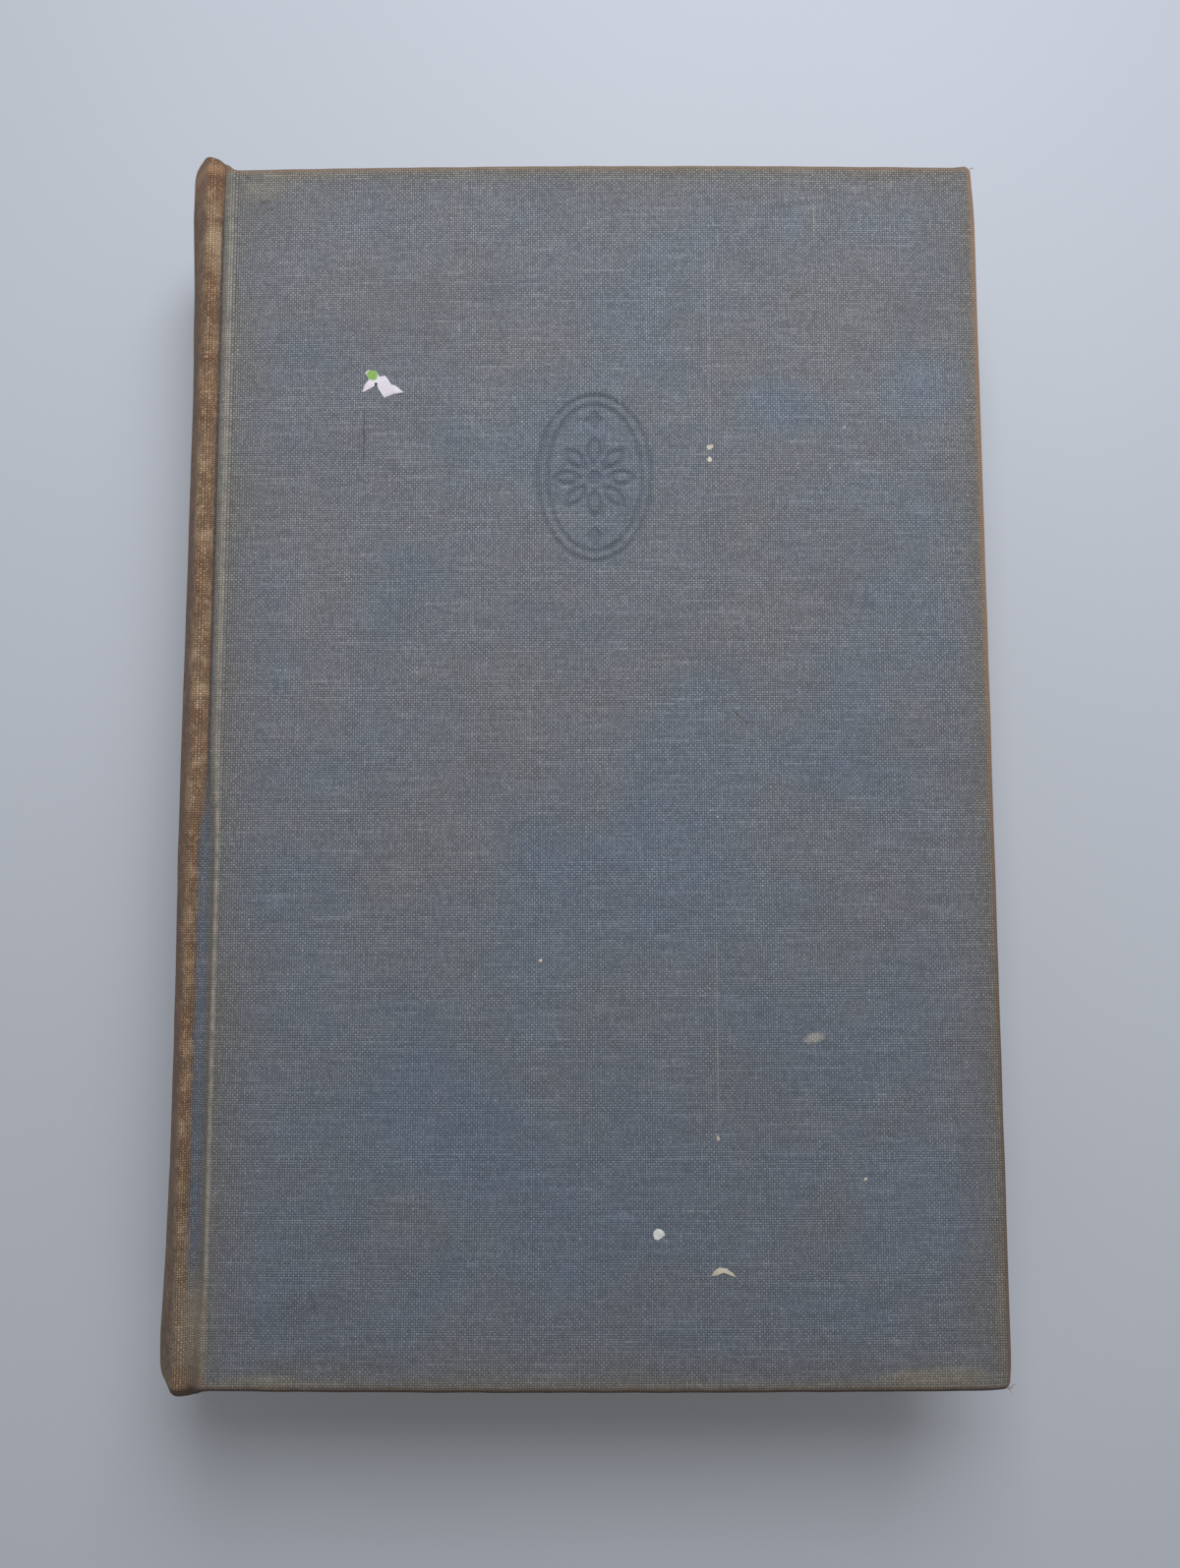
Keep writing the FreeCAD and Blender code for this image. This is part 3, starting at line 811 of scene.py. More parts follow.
    def _crest(self, finish: Finish, m: ClothMasks, groove: GrooveMap, height: Value) -> Value:
        """The mask of the pale line where the board's edge has rubbed the cloth.

        Args:
            finish: the material in the making.
            m: the shared masks.
            groove: where the groove lies on the flat cloth.
            height: the threads' height.

        Returns:
            The mask.
        """
        b = finish.bench
        line = b.step(b.math("ABSOLUTE", b.minus(m.across, groove.crest * MM)), 0.0001, 0.0008, 1.0, 0.0)
        line = b.times(line, b.step(b.noise(finish.place, 420.0, 4.0), 0.32, 0.6, 0.2, 0.8))
        line = b.times(line, b.step(height, 0.3, 0.8, 0.35, 1.0), b.blend(m.shut, 1.0, 0.5))
        return b.times(line, b.times(b.blend(m.near_tail, 1.0, 0.15), b.blend(m.near_head, 1.0, 0.2)))

    def _worn_colour(self, finish: Finish, m: ClothMasks, plan: BookPlan, colour: Value, height: Value) -> Value:
        """Wears the edges, lays dirt and dust over the threads, and paints shade along the tail edge.

        Args:
            finish: the material in the making.
            m: the shared masks.
            plan: where the cover's edges are.
            colour: the colour so far.
            height: the threads' height.

        Returns:
            The worn colour.
        """
        b = finish.bench
        strength = self.wear.value
        rim = self._rim(finish, plan, 0.3, width=0.0015, ragged=0.5, size=0.0018, joint=0.0, head=0.7)
        worn = b.tint(b.step(m.along, -0.06, 0.03), self.tail_worn, self.worn)
        colour = b.tint(b.times(rim, 0.85 * strength), colour, worn)
        shares = {"joint": 0.0, "fore_edge": 0.5, "head": 0.8, "tail": 0.6}
        pale = self._rim(finish, plan, 0.9, width=0.0022, ragged=1.3, size=0.003, **shares)
        pale = b.times(pale, b.times(b.step(height, 0.45, 0.9), 0.35 * strength))
        colour = b.tint(pale, colour, self.bare)
        # Part dirt, part painted shade: the soil colour darkens the tail edge most, where the rounded edge faces away
        # from the light.
        shares = {"joint": 0.0, "fore_edge": 0.1, "head": 0.45, "tail": 1.0}
        grime = self._rim(finish, plan, 0.7, width=0.0013, ragged=0.6, size=0.003, **shares)
        tail_edge_dirt_and_shade = b.step_mm(m.along, plan.tail_y, plan.tail_y + 0.9, 0.95, 0.0)
        grime = b.math("MAXIMUM", b.times(grime, b.minus(1.0, m.on_spine)), tail_edge_dirt_and_shade)
        colour = b.tint(b.times(grime, 0.9 * strength), colour, self.soil)
        dust = finish.mask("flecks", spacing=0.006, size=0.00022, share=0.35, seed=self.seed)
        return b.tint(b.times(dust, 0.5), colour, self.dust)

    def material(self, effects: EffectShelf, plan: BookPlan, groove: GrooveMap) -> bpy.types.Material:
        """The finish of one cover and its half of the spine.

        Args:
            effects: the shared node groups.
            plan: where the cover's edges are.
            groove: where the groove lies on the flat cloth.

        Returns:
            The material.
        """
        finish = Finish(self.name, effects, uses_map=True)
        b = finish.bench
        masks = self._masks(finish, plan, groove)
        colour = self._joined_colour(finish, masks, plan, groove)
        colour, height = self._threaded_colour(finish, masks, colour)
        colour = b.tint(self._crest(finish, masks, groove, height), colour, self.crest)
        colour = self._worn_colour(finish, masks, plan, colour, height)
        roughness = b.blend(masks.pressed, 0.88, 0.72)
        sheen = {"Sheen_Weight": 0.08, "Sheen_Roughness": 0.5}
        return finish.close(colour, roughness, height, 0.1, Specular_IOR_Level=0.25, **sheen)


@dataclass(frozen=True)
class Paper:
    """Old paper: fibrous, toned from its edges inwards, a little foxed."""

    name: str
    sheet: Colour
    toned: Colour
    foxing: float = 0.25
    band: float = 9.0
    rough: float = 0.9

    def material(self, effects: EffectShelf, low: Sequence[float], high: Sequence[float]) -> bpy.types.Material:
        """The finish of one sheet.

        Args:
            effects: the shared node groups.
            low, high: the sheet's corners in millimetres, where the toning starts.

        Returns:
            The material.
        """
        finish = Finish(self.name, effects, uses_map=False)
        b = finish.bench
        corners = {"low": (low[0] * MM, low[1] * MM, 0.0), "high": (high[0] * MM, high[1] * MM, 0.0)}
        band = finish.mask("edges", width=self.band * MM, ragged=0.3, size=0.02, **corners)
        cloud = finish.mask("mottle", size=0.05, amount=0.5, soft=0.2, seed=0.3)
        colour = b.tint(b.times(cloud, 0.25), self.sheet, self.toned)
        colour = b.tint(b.times(band, 0.75), colour, self.toned)
        spots = finish.mask("flecks", spacing=0.011, size=0.0011, share=0.35, seed=0.2)
        colour = b.tint(b.times(spots, self.foxing), colour, linear(150, 108, 66))
        fibres = b.noise(b.vector("MULTIPLY", finish.place, (1.0, 0.35, 1.0)), 2600.0, 4.0, 0.7)
        shade = b.step(fibres, 0.3, 0.7, 0.95, 1.04)
        colour = b.shaded(colour, shade)
        return finish.close(colour, self.rough, fibres, 0.02, Specular_IOR_Level=0.3)


@dataclass(frozen=True)
class LeafEdges:
    """The cut edges of the leaves: fine lines, browned by dust, darkest at the head."""

    name: str = "leaf edges"
    leaf: Colour = linear(214, 199, 166)
    line: Colour = linear(150, 126, 92)
    dust: Colour = linear(122, 106, 86)

    def material(self, effects: EffectShelf, plan: BookPlan) -> bpy.types.Material:
        """The finish of the stack of leaves.

        Args:
            effects: the shared node groups.
            plan: where the leaves end.

        Returns:
            The material.
        """
        finish = Finish(self.name, effects, uses_map=False)
        b = finish.bench
        leaf = b.node("ShaderNodeAttribute", attribute_name="leaf").outputs["Fac"]
        x, y, _ = b.split(finish.place)
        along = b.plus(b.times(x, 6.0), b.times(y, 6.0))
        lines = b.noise(b.join(b.times(leaf, 3.1), along, 0.0), 1.0, 3.0, 0.75)
        broad = b.noise(b.join(b.times(leaf, 0.35), b.times(along, 0.4), 4.0), 1.0, 3.0)
        colour = b.tint(b.step(lines, 0.4, 0.66), self.leaf, self.line)
        colour = b.tint(b.step(broad, 0.45, 0.75, 0.0, 0.5), colour, self.line)
        head = b.step_mm(y, plan.leaves_high[1] - 0.8, plan.leaves_high[1] - 0.2, 0.12, 0.6)
        dirt = b.times(head, b.step(b.noise(finish.place, 110.0, 4.0), 0.2, 0.7, 0.5, 1.0))
        colour = b.tint(dirt, colour, self.dust)
        return finish.close(colour, 0.92, lines, 0.12, Specular_IOR_Level=0.2)


@dataclass(frozen=True)
class GreyBoard:
    """Pressed grey board with dark and pale fibres."""

    name: str = "grey board"
    board: Colour = linear(150, 138, 118)
    fibre: Colour = linear(108, 98, 84)

    def material(self, effects: EffectShelf) -> bpy.types.Material:
        """The finish of the boards.

        Args:
            effects: the shared node groups.

        Returns:
            The material.
        """
        finish = Finish(self.name, effects, uses_map=False)
        b = finish.bench
        fibres = b.noise(b.vector("MULTIPLY", finish.place, (1.0, 0.4, 2.0)), 1500.0, 5.0, 0.75)
        colour = b.tint(b.step(fibres, 0.35, 0.7), self.board, self.fibre)
        specks = finish.mask("flecks", spacing=0.003, size=0.0004, share=0.5)
        colour = b.tint(b.times(specks, 0.5), colour, linear(70, 66, 62))
        return finish.close(colour, 0.93, fibres, 0.05)


@dataclass(frozen=True)
class Gauze:
    """Open-weave mull, stiff with old glue."""

    name: str = "mull gauze"
    thread: Colour = linear(206, 196, 172)
    glue: Colour = linear(140, 112, 72)

    def material(self, effects: EffectShelf) -> bpy.types.Material:
        """The finish of the mull.

        Args:
            effects: the shared node groups.

        Returns:
            The material.
        """
        finish = Finish(self.name, effects, uses_map=False)
        b = finish.bench
        _, y, z = b.split(finish.place)
        weave = b.group(effects.weave, coordinates=b.join(z, y), pitch=0.001)
        height = weave.outputs["Height"]
        colour = b.tint(b.step(height, 0.3, 0.7), self.glue, self.thread)
        return finish.close(colour, 0.85, height, 0.2)


@dataclass(frozen=True)
class BandThread:
    """Silk thread wound over a headband, in two colours by turns."""

    name: str = "band thread"
    pale: Colour = linear(196, 184, 156)
    dyed: Colour = linear(86, 92, 104)

    def material(self, effects: EffectShelf) -> bpy.types.Material:
        """The finish of the headbands.

        Args:
            effects: the shared node groups.

        Returns:
            The material.
        """
        finish = Finish(self.name, effects, uses_map=False)
        b = finish.bench
        stripe = b.node("ShaderNodeAttribute", attribute_name="stripe").outputs["Fac"]
        fibres = b.noise(finish.place, 4000.0, 3.0)
        colour = b.tint(stripe, self.pale, self.dyed)
        shade = b.step(fibres, 0.3, 0.7, 0.85, 1.1)
        colour = b.shaded(colour, shade)
        soil = finish.mask("mottle", size=0.004, amount=0.5)
        colour = b.tint(b.times(soil, 0.35), colour, linear(110, 94, 72))
        return finish.close(colour, 0.7, fibres, 0.03, Sheen_Weight=0.2)


@dataclass(frozen=True)
class Scrap:
    """Coated label paper with a printed corner, or dried paint, on the cover."""

    name: str
    face: Colour
    second: Colour
    centre: tuple = (0.0, 0.0)
    radius: float = 1.0
    grime: float = 0.2

    def material(self, effects: EffectShelf) -> bpy.types.Material:
        """The finish of a small stuck piece, with a patch of a second colour.

        Args:
            effects: the shared node groups.

        Returns:
            The material.
        """
        finish = Finish(self.name, effects, uses_map=False)
        b = finish.bench
        x, y, _ = b.split(finish.place)
        flat = b.join(x, y)
        patch = finish.mask(
            "stain", coordinates=flat, centre=(self.centre[0] * MM, self.centre[1] * MM, 0.0),
            half_length=self.radius * MM, half_width=self.radius * MM, soft=0.3, ragged=0.5,
        )
        colour = b.tint(patch, self.face, self.second)
        grime = finish.mask("mottle", size=0.003, amount=0.5)
        colour = b.tint(b.times(grime, self.grime), colour, linear(130, 122, 116))
        grain = b.noise(finish.place, 3000.0, 3.0)
        return finish.close(colour, b.step(grain, 0.2, 0.8, 0.45, 0.7), grain, 0.02)


@dataclass(frozen=True)
class TableTop:
    """A plain pale floor."""

    name: str = "plain floor"
    colour: Colour = linear(165, 171, 182)

    def material(self) -> bpy.types.Material:
        """The finish of the floor."""
        material = bpy.data.materials.new(self.name)
        material.use_nodes = True
        bench = NodeBench(material.node_tree)
        shader = material.node_tree.nodes["Principled BSDF"]
        cloud = bench.noise(bench.node("ShaderNodeTexCoord").outputs["Object"], 5.0, 2.0)
        shade = bench.step(cloud, 0.2, 0.8, 0.98, 1.02)
        bench.feed(shader.inputs["Base Color"], bench.shaded(self.colour, shade))
        shader.inputs["Roughness"].default_value = 0.6
        shader.inputs["Specular IOR Level"].default_value = 0.2
        return material


# Meshes


def make_piece(
    name: str, points: np.ndarray, faces: Sequence, material: bpy.types.Material,
    flat: Optional[np.ndarray] = None, masks: Optional[dict] = None, crease: Optional[float] = 50.0,
) -> bpy.types.Object:
    """Makes a closed mesh piece from points in millimetres.

    Args:
        name: the piece's name.
        points: one row for each vertex.
        faces: vertex numbers of each face.
        material: its finish.
        flat: the vertex's place on the flat cloth, in millimetres.
        masks: numbers for each vertex, by name.
        crease: degrees over which an edge is drawn sharp.

    Returns:
        The object, at the origin.
    """
    mesh = bpy.data.meshes.new(name)
    mesh.from_pydata((np.asarray(points, dtype=float) * MM).tolist(), [], [list(map(int, f)) for f in faces])
    if flat is not None:
        layer = mesh.uv_layers.new(name="flat")
        corners = np.empty(len(mesh.loops), dtype=np.int32)
        mesh.loops.foreach_get("vertex_index", corners)
        layer.data.foreach_set("uv", (np.asarray(flat)[corners] * MM).astype(np.float32).ravel())
    for key, values in (masks or {}).items():
        mesh.attributes.new(key, "FLOAT", "POINT").data.foreach_set("value", np.asarray(values, dtype=np.float32))
    work = bmesh.new()
    work.from_mesh(mesh)
    bmesh.ops.remove_doubles(work, verts=work.verts, dist=1e-6)
    bmesh.ops.dissolve_degenerate(work, edges=work.edges, dist=1e-7)
    bmesh.ops.recalc_face_normals(work, faces=work.faces)
    work.to_mesh(mesh)
    work.free()
    mesh.shade_smooth()
    if crease is not None:
        mesh.set_sharp_from_angle(angle=math.radians(crease))
    mesh.materials.append(material)
    made = bpy.data.objects.new(name, mesh)
    bpy.context.scene.collection.objects.link(made)
    return made


def settle(made: bpy.types.Object, body: str, slot: str, *replaced: str) -> bpy.types.Object:
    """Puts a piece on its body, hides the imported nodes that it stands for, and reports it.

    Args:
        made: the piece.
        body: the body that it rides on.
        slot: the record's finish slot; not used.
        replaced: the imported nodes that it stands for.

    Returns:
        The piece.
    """
    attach(made, body)
    if replaced:
        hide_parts(*replaced)
    log.info("%s: %d faces on %s", made.name, len(made.data.polygons), body)
    return made


def grid_faces(rows: int, columns: int, close_rows: bool = False, close_columns: bool = False) -> list:
    """Faces of a grid of vertices numbered row by row.

    Args:
        rows, columns: the numbers of vertices.
        close_rows, close_columns: whether the last joins the first again.

    Returns:
        Quads of vertex numbers.
    """
    faces = []
    for r in range(rows if close_rows else rows - 1):
        for c in range(columns if close_columns else columns - 1):
            r2, c2 = (r + 1) % rows, (c + 1) % columns
            faces.append((r * columns + c, r * columns + c2, r2 * columns + c2, r2 * columns + c))
    return faces


def tube_faces(loops: int, size: int) -> list:
    """Faces of a tube of closed loops, each of a number of vertices, with both ends filled.

    Args:
        loops: the number of loops.
        size: the number of vertices in each.

    Returns:
        Faces as vertex numbers.
    """
    faces = grid_faces(loops, size, close_columns=True)
    faces.append(tuple(range(size)))
    faces.append(tuple(range((loops - 1) * size, loops * size)))
    return faces


class GrowthTree:
    """A geometry node tree that makes one repeated form, run once into a plain mesh."""

    def __init__(self, name: str, inputs: dict) -> None:
        """Opens the tree.

        Args:
            name: the tree's name.
            inputs: default values by name: whole numbers, lengths, or a material.
        """
        self.tree = bpy.data.node_groups.new(name, "GeometryNodeTree")
        self.values = inputs
        self.tree.interface.new_socket("Geometry", in_out="INPUT", socket_type="NodeSocketGeometry")
        self.tree.interface.new_socket("Geometry", in_out="OUTPUT", socket_type="NodeSocketGeometry")
        kinds = {int: "NodeSocketInt", float: "NodeSocketFloat", bpy.types.Material: "NodeSocketMaterial"}
        for key, value in inputs.items():
            self.tree.interface.new_socket(key, in_out="INPUT", socket_type=kinds[type(value)])
        self.bench = NodeBench(self.tree)
        self.given = self.bench.node("NodeGroupInput").outputs

    def captured_index(self, geometry: Value) -> tuple:
        """Keeps each point's number, and gives the geometry and the number."""
        made = self.bench.node("GeometryNodeCaptureAttribute", domain="POINT")
        made.capture_items.new("INT", "Number")
        self.bench.feed(made.inputs["Geometry"], geometry)
        self.bench.feed(made.inputs["Number"], self.bench.node("GeometryNodeInputIndex").outputs[0])
        return made.outputs["Geometry"], made.outputs["Number"]

    def draw(self, number: Value, low: Value, high: Value, offset: int) -> bpy.types.NodeSocket:
        """A repeatable random number for each whole number.

        Args:
            number: picks the draw.
            low, high: the limits of the draw.
            offset: keeps one set of draws from another.

        Returns:
            The draw.
        """
        seed = self.bench.plus(self.given["Seed"], float(offset))
        made = self.bench.node("FunctionNodeRandomValue", data_type="FLOAT")
        for name, value in (("Min", low), ("Max", high)):
            self.bench.feed([s for s in made.inputs if s.name == name and s.enabled][0], value)
        self.bench.feed(made.inputs["ID"], number)
        self.bench.feed(made.inputs["Seed"], seed)
        return [s for s in made.outputs if s.enabled][0]

    def circle(self, corners: int, radius: Value) -> bpy.types.NodeSocket:
        """A round curve with a number of corners."""
        inputs = {"Resolution": corners, "Radius": radius}
        return self.bench.node("GeometryNodeCurvePrimitiveCircle", inputs, mode="RADIUS").outputs[0]

    def copies(self, points: Value, form: Value, **inputs: Value) -> bpy.types.NodeSocket:
        """One copy of a form on each point."""
        inputs = {"Points": points, "Instance": form, **inputs}
        return self.bench.node("GeometryNodeInstanceOnPoints", inputs).outputs[0]

    def real(self, geometry: Value) -> bpy.types.NodeSocket:
        """Copies made into one mesh."""
        return self.bench.node("GeometryNodeRealizeInstances", {"Geometry": geometry}).outputs[0]

    def named(self, geometry: Value, name: str, value: Value) -> bpy.types.NodeSocket:
        """Keeps a number on each point under a name that the finish reads.

        Args:
            geometry: the mesh.
            name: the name.
            value: the number.

        Returns:
            The mesh with the number.
        """
        inputs = {"Geometry": geometry, "Name": name}
        made = self.bench.node("GeometryNodeStoreNamedAttribute", inputs, data_type="FLOAT", domain="POINT")
        self.bench.feed([s for s in made.inputs if s.name == "Value" and s.enabled][0], value)
        return made.outputs[0]

    def finish(self, geometry: Value) -> None:
        """Ends the tree: instances made real, and the finish set."""
        inputs = {"Geometry": self.real(geometry), "Material": self.given["Finish"]}
        dressed = self.bench.node("GeometryNodeSetMaterial", inputs)
        out = self.bench.node("NodeGroupOutput")
        self.bench.feed(out.inputs["Geometry"], dressed.outputs[0])

    def grow(self, name: str, base: Optional[bpy.types.Mesh] = None) -> bpy.types.Object:
        """Runs the tree on a mesh and keeps the result as a plain mesh piece.

        Args:
            name: the piece's name.
            base: the mesh that the tree starts from, if it needs one.

        Returns:
            The piece, at the origin, with no modifier.
        """
        host = bpy.data.objects.new(name + "_host", base or bpy.data.meshes.new(name + "_base"))
        modifier = host.modifiers.new("grow", "NODES")
        modifier.node_group = self.tree
        for item in self.tree.interface.items_tree:
            if item.in_out == "INPUT" and item.name in self.values:
                modifier[item.identifier] = self.values[item.name]
        bpy.context.scene.collection.objects.link(host)
        seen = host.evaluated_get(bpy.context.evaluated_depsgraph_get())
        mesh = bpy.data.meshes.new_from_object(seen)
        bpy.data.objects.remove(host)
        mesh.name = name
        mesh.shade_smooth()
        mesh.set_sharp_from_angle(angle=math.radians(45))
        made = bpy.data.objects.new(name, mesh)
        bpy.context.scene.collection.objects.link(made)
        return made


# Covers


@dataclass
class StampedOrnament:
    """A generic blind-stamped ornament: two oval lines around an eight-petalled rosette and two lozenges."""

    centre_x: float
    centre_y: float
    half_width: float = 10.9
    half_height: float = 16.0
    line: float = 0.8
    gap: float = 1.0
    petals: int = 8
    petal_start: float = 2.2
    petal_length: float = 5.6
    petal_bulge: float = 1.5
    eye: float = 1.3
    lozenge: tuple = (1.6, 1.9, 11.0)

    @staticmethod
    def _oval(x: np.ndarray, y: np.ndarray, a: float, b: float) -> np.ndarray:
        """Distance outside an upright oval, near enough.

        Args:
            x, y: places from the oval's centre.
            a, b: its half width and half height.

        Returns:
            One distance for each place.
        """
        radius = np.sqrt((x / a) ** 2 + (y / b) ** 2) + 1e-9
        slope = np.sqrt((x / a**2) ** 2 + (y / b**2) ** 2) / radius + 1e-9
        return (radius - 1) / slope

    @staticmethod
    def _petal(x: np.ndarray, y: np.ndarray, start: float, length: float, bulge: float) -> np.ndarray:
        """Distance outside a pointed petal that lies along x.

        Args:
            x, y: places from the flower's centre.
            start, length: where the petal starts and how long it is.
            bulge: its half width.

        Returns:
            One distance for each place.
        """
        radius = (length**2 / 4 + bulge**2) / (2 * bulge)
        middle = start + length / 2
        upper = np.hypot(x - middle, y - (bulge - radius)) - radius
        return np.maximum(upper, np.hypot(x - middle, y + (bulge - radius)) - radius)

    def depth(self, x: np.ndarray, y: np.ndarray) -> np.ndarray:
        """How far each place is pressed, from 0 to 1.

        Args:
            x, y: places on the cover.

        Returns:
            One value for each place.
        """
        x, y = x - self.centre_x, y - self.centre_y
        away = np.full(x.shape, 99.0)
        for step in (0.0, self.line + self.gap):
            a, b = self.half_width - step, self.half_height - step
            ring = np.maximum(self._oval(x, y, a, b), -self._oval(x, y, a - self.line, b - self.line))
            away = np.minimum(away, ring)
        for index in range(self.petals):
            angle = 2 * math.pi * index / self.petals
            u = x * math.cos(angle) + y * math.sin(angle)
            v = y * math.cos(angle) - x * math.sin(angle)
            outer = self._petal(u, v, self.petal_start, self.petal_length, self.petal_bulge)
            start, length = self.petal_start + 1.5 * self.line, self.petal_length - 3 * self.line
            inner = self._petal(u, v, start, length, self.petal_bulge - self.line)
            away = np.minimum(away, np.maximum(outer, -inner))
        away = np.minimum(away, np.hypot(x, y) - self.eye)
        wide, tall, up = self.lozenge
        for centre in (up, -up):
            away = np.minimum(away, (np.abs(x) / wide + np.abs(y - centre) / tall - 1) * 1.2)
        return ease(-away, -0.22, 0.18)


@dataclass
class CoverCloth:
    """Cloth over one board: down its joint edge, round its other edges and turned in."""

    plan: BookPlan
    side: Side
    finish: bpy.types.Material
    ornament: Optional[StampedOrnament] = None
    cloth: float = 0.4
    paste: float = 0.2
    edge_round: float = 1.0
    corner_round: float = 1.4
    worn_corner: float = 0.9
    grid_inset: float = 2.5
    turn_in: float = 15.0
    coarse: float = 2.4
    fine: float = 0.3
    margin: float = 3.2
    press: float = 0.3
    lap_x: float = 63.0
    seed: int = 3

    def _stops(self, low: float, high: float, fine_low: float, fine_high: float) -> np.ndarray:
        """Grid lines across the cover, close together over the ornament.

        Args:
            low, high: the first and the last line.
            fine_low, fine_high: the part with close lines.

        Returns:
            The lines' places.
        """
        if self.ornament is None:
            return np.linspace(low, high, int((high - low) / self.coarse) + 2)
        before = np.linspace(low, fine_low, int((fine_low - low) / self.coarse) + 2)
        middle = np.linspace(fine_low, fine_high, int((fine_high - fine_low) / self.fine) + 1)
        after = np.linspace(fine_high, high, int((high - fine_high) / self.coarse) + 2)
        return np.concatenate((before, middle[1:-1], after))

    def _ring(self, xs: np.ndarray, ys: np.ndarray, joint: float, other: float, corner: float) -> np.ndarray:
        """One closed outline of the cover, set in from its edges.

        Args:
            xs, ys: grid lines, whose spacing the outline's points follow.
            joint: how far it is set in from the joint edge.
            other: how far it is set in from the other three edges.
            corner: radius of the two fore-edge corners.

        Returns:
            Points in turn: tail edge, fore-edge, head edge, joint edge.
        """
        p = self.plan
        x0, x1, y0, y1 = p.joint_x + joint, p.fore_x - other, p.tail_y + other, p.head_y - other
        along_x = x0 + (xs - xs[0]) / (xs[-1] - xs[0]) * (x1 - corner - x0)
        if x0 < -self.lap_x < along_x[2]:
            along_x[1] = -self.lap_x - 0.02
            along_x[2] = -self.lap_x + 0.02
        along_y = y0 + corner + (ys - ys[0]) / (ys[-1] - ys[0]) * (y1 - y0 - 2 * corner)
        turn = np.linspace(0, math.pi / 2, 9)[1:-1]
        left = y0 + (ys - ys[0]) / (ys[-1] - ys[0]) * (y1 - y0)
        rows = [
            np.stack([along_x, np.full_like(along_x, y0)], 1),
            np.stack([x1 - corner + corner * np.sin(turn), y0 + corner - corner * np.cos(turn)], 1),
            np.stack([np.full_like(along_y, x1), along_y], 1),
            np.stack([x1 - corner + corner * np.cos(turn), y1 - corner + corner * np.sin(turn)], 1),
            np.stack([along_x[::-1], np.full_like(along_x, y1)], 1),
            np.stack([np.full_like(left, x0), left[::-1]], 1)[1:-1],
        ]
        return np.concatenate(rows)

    def _profile(self) -> list:
        """Steps of the cloth from the top, round the edge, to the end of the turn-in and back inside.

        Returns:
            For each step: inset from the joint edge, inset from the others, height and flat distance.
        """
        top = self.plan.cover
        r, c = self.edge_round, self.cloth
        steps = []
        for angle in np.linspace(0, math.pi / 2, 7):
            inset, drop = r - r * math.sin(angle), r - r * math.cos(angle)
            steps.append((inset, inset, top - drop, r - r * angle))
        low = self.paste
        flat = r - r * math.pi / 2
        steps.append((0.0, 0.0, (top - r + low) / 2, flat - (top - r - low) / 2))
        under = flat - (top - r - low)
        for inset, up in ((0.0, 0.35), (0.12, 0.1), (0.35, 0.0)):
            steps.append((min(inset, 0.1), inset, low + up, under - inset))
        for inset in (2.0, 5.0, 9.0, self.turn_in):
            steps.append((c, c + inset, low, under - inset))
        steps.append((c, c + self.turn_in, low + c, under - self.turn_in - c))
        for inset in (5.0, 0.0):
            steps.append((c, c + inset, low + c, under - inset - c))
        inner = max(r - c, 0.2)
        for angle in np.linspace(math.pi / 2, 0, 4):
            inset = c + inner - inner * math.sin(angle)
            steps.append((inset, inset, top - c - inner + inner * math.cos(angle), r))
        return steps

    def _shaped(self, points: np.ndarray) -> np.ndarray:
        """Bows the long edges, wears the corners and gives the board its slight unevenness.

        Args:
            points: one row for each vertex.

        Returns:
            The moved points.
        """
        p = self.plan
        x, y, z = points.T.copy()
        across = (x - p.joint_x) / (p.fore_x - p.joint_x)
        bow = 4 * across * (1 - across)
        to_head, to_tail = ease(y, p.middle_y, p.head_y), ease(-y, -p.middle_y, -p.tail_y)
        y = y + (0.65 * bow - 0.1) * to_head - (0.35 * bow - 0.05) * to_tail
        spread = np.hypot(x - p.fore_x, y - p.tail_y)
        pull = self.worn_corner * 0.35 * (1 - ease(spread, 0.0, 5.5))
        x, y = x - pull, y + pull * 0.7
        bump = np.exp(-(((x - p.fore_x) / 3.0) ** 2 + ((y - p.head_y) / 7.0) ** 2))
        x = x - 0.45 * bump
        rise = np.exp(-(((x - p.fore_x + 1.5) / 1.6) ** 2 + ((y - p.head_y) / 2.5) ** 2))
        y = y + 0.3 * rise
        lap = ease(-x, self.lap_x - 0.01, self.lap_x + 0.01)
        z = z - self.cloth * 1.15 * lap * ease(z, 0.6, 2.2)
        y = y - (self.cloth + 0.1) * lap * (ease(y, p.middle_y, p.head_y) - ease(-y, -p.middle_y, -p.tail_y))
        edge = 1 - ease(np.minimum.reduce([p.fore_x - x, y - p.tail_y, p.head_y - y]), 0.0, 5.0)
        edge = edge * ease(x, 1.0 - self.lap_x, 8.0 - self.lap_x)
        x = x + 0.06 * soft_noise(x, y, 9.0, self.seed) * edge
        y = y + 0.07 * soft_noise(x, y, 8.0, self.seed + 1) * edge
        return np.stack([x, y, z], 1)

    def _relief(self, x: np.ndarray, y: np.ndarray) -> np.ndarray:
        """Height of the outer face over its level: slight swells, less the stamped lines.

        Args:
            x, y: places on the cover.

        Returns:
            One height for each place.
        """
        wide, narrow = soft_noise(x, y, 60.0, self.seed + 2), soft_noise(x, y, 14.0, self.seed + 3)
        relief = 0.05 * wide + 0.02 * narrow - 0.05
        relief = relief * ease(x, -self.lap_x, 8.0 - self.lap_x)
        if self.ornament is not None:
            relief = relief - self.press * self.ornament.depth(x, y)
        return relief

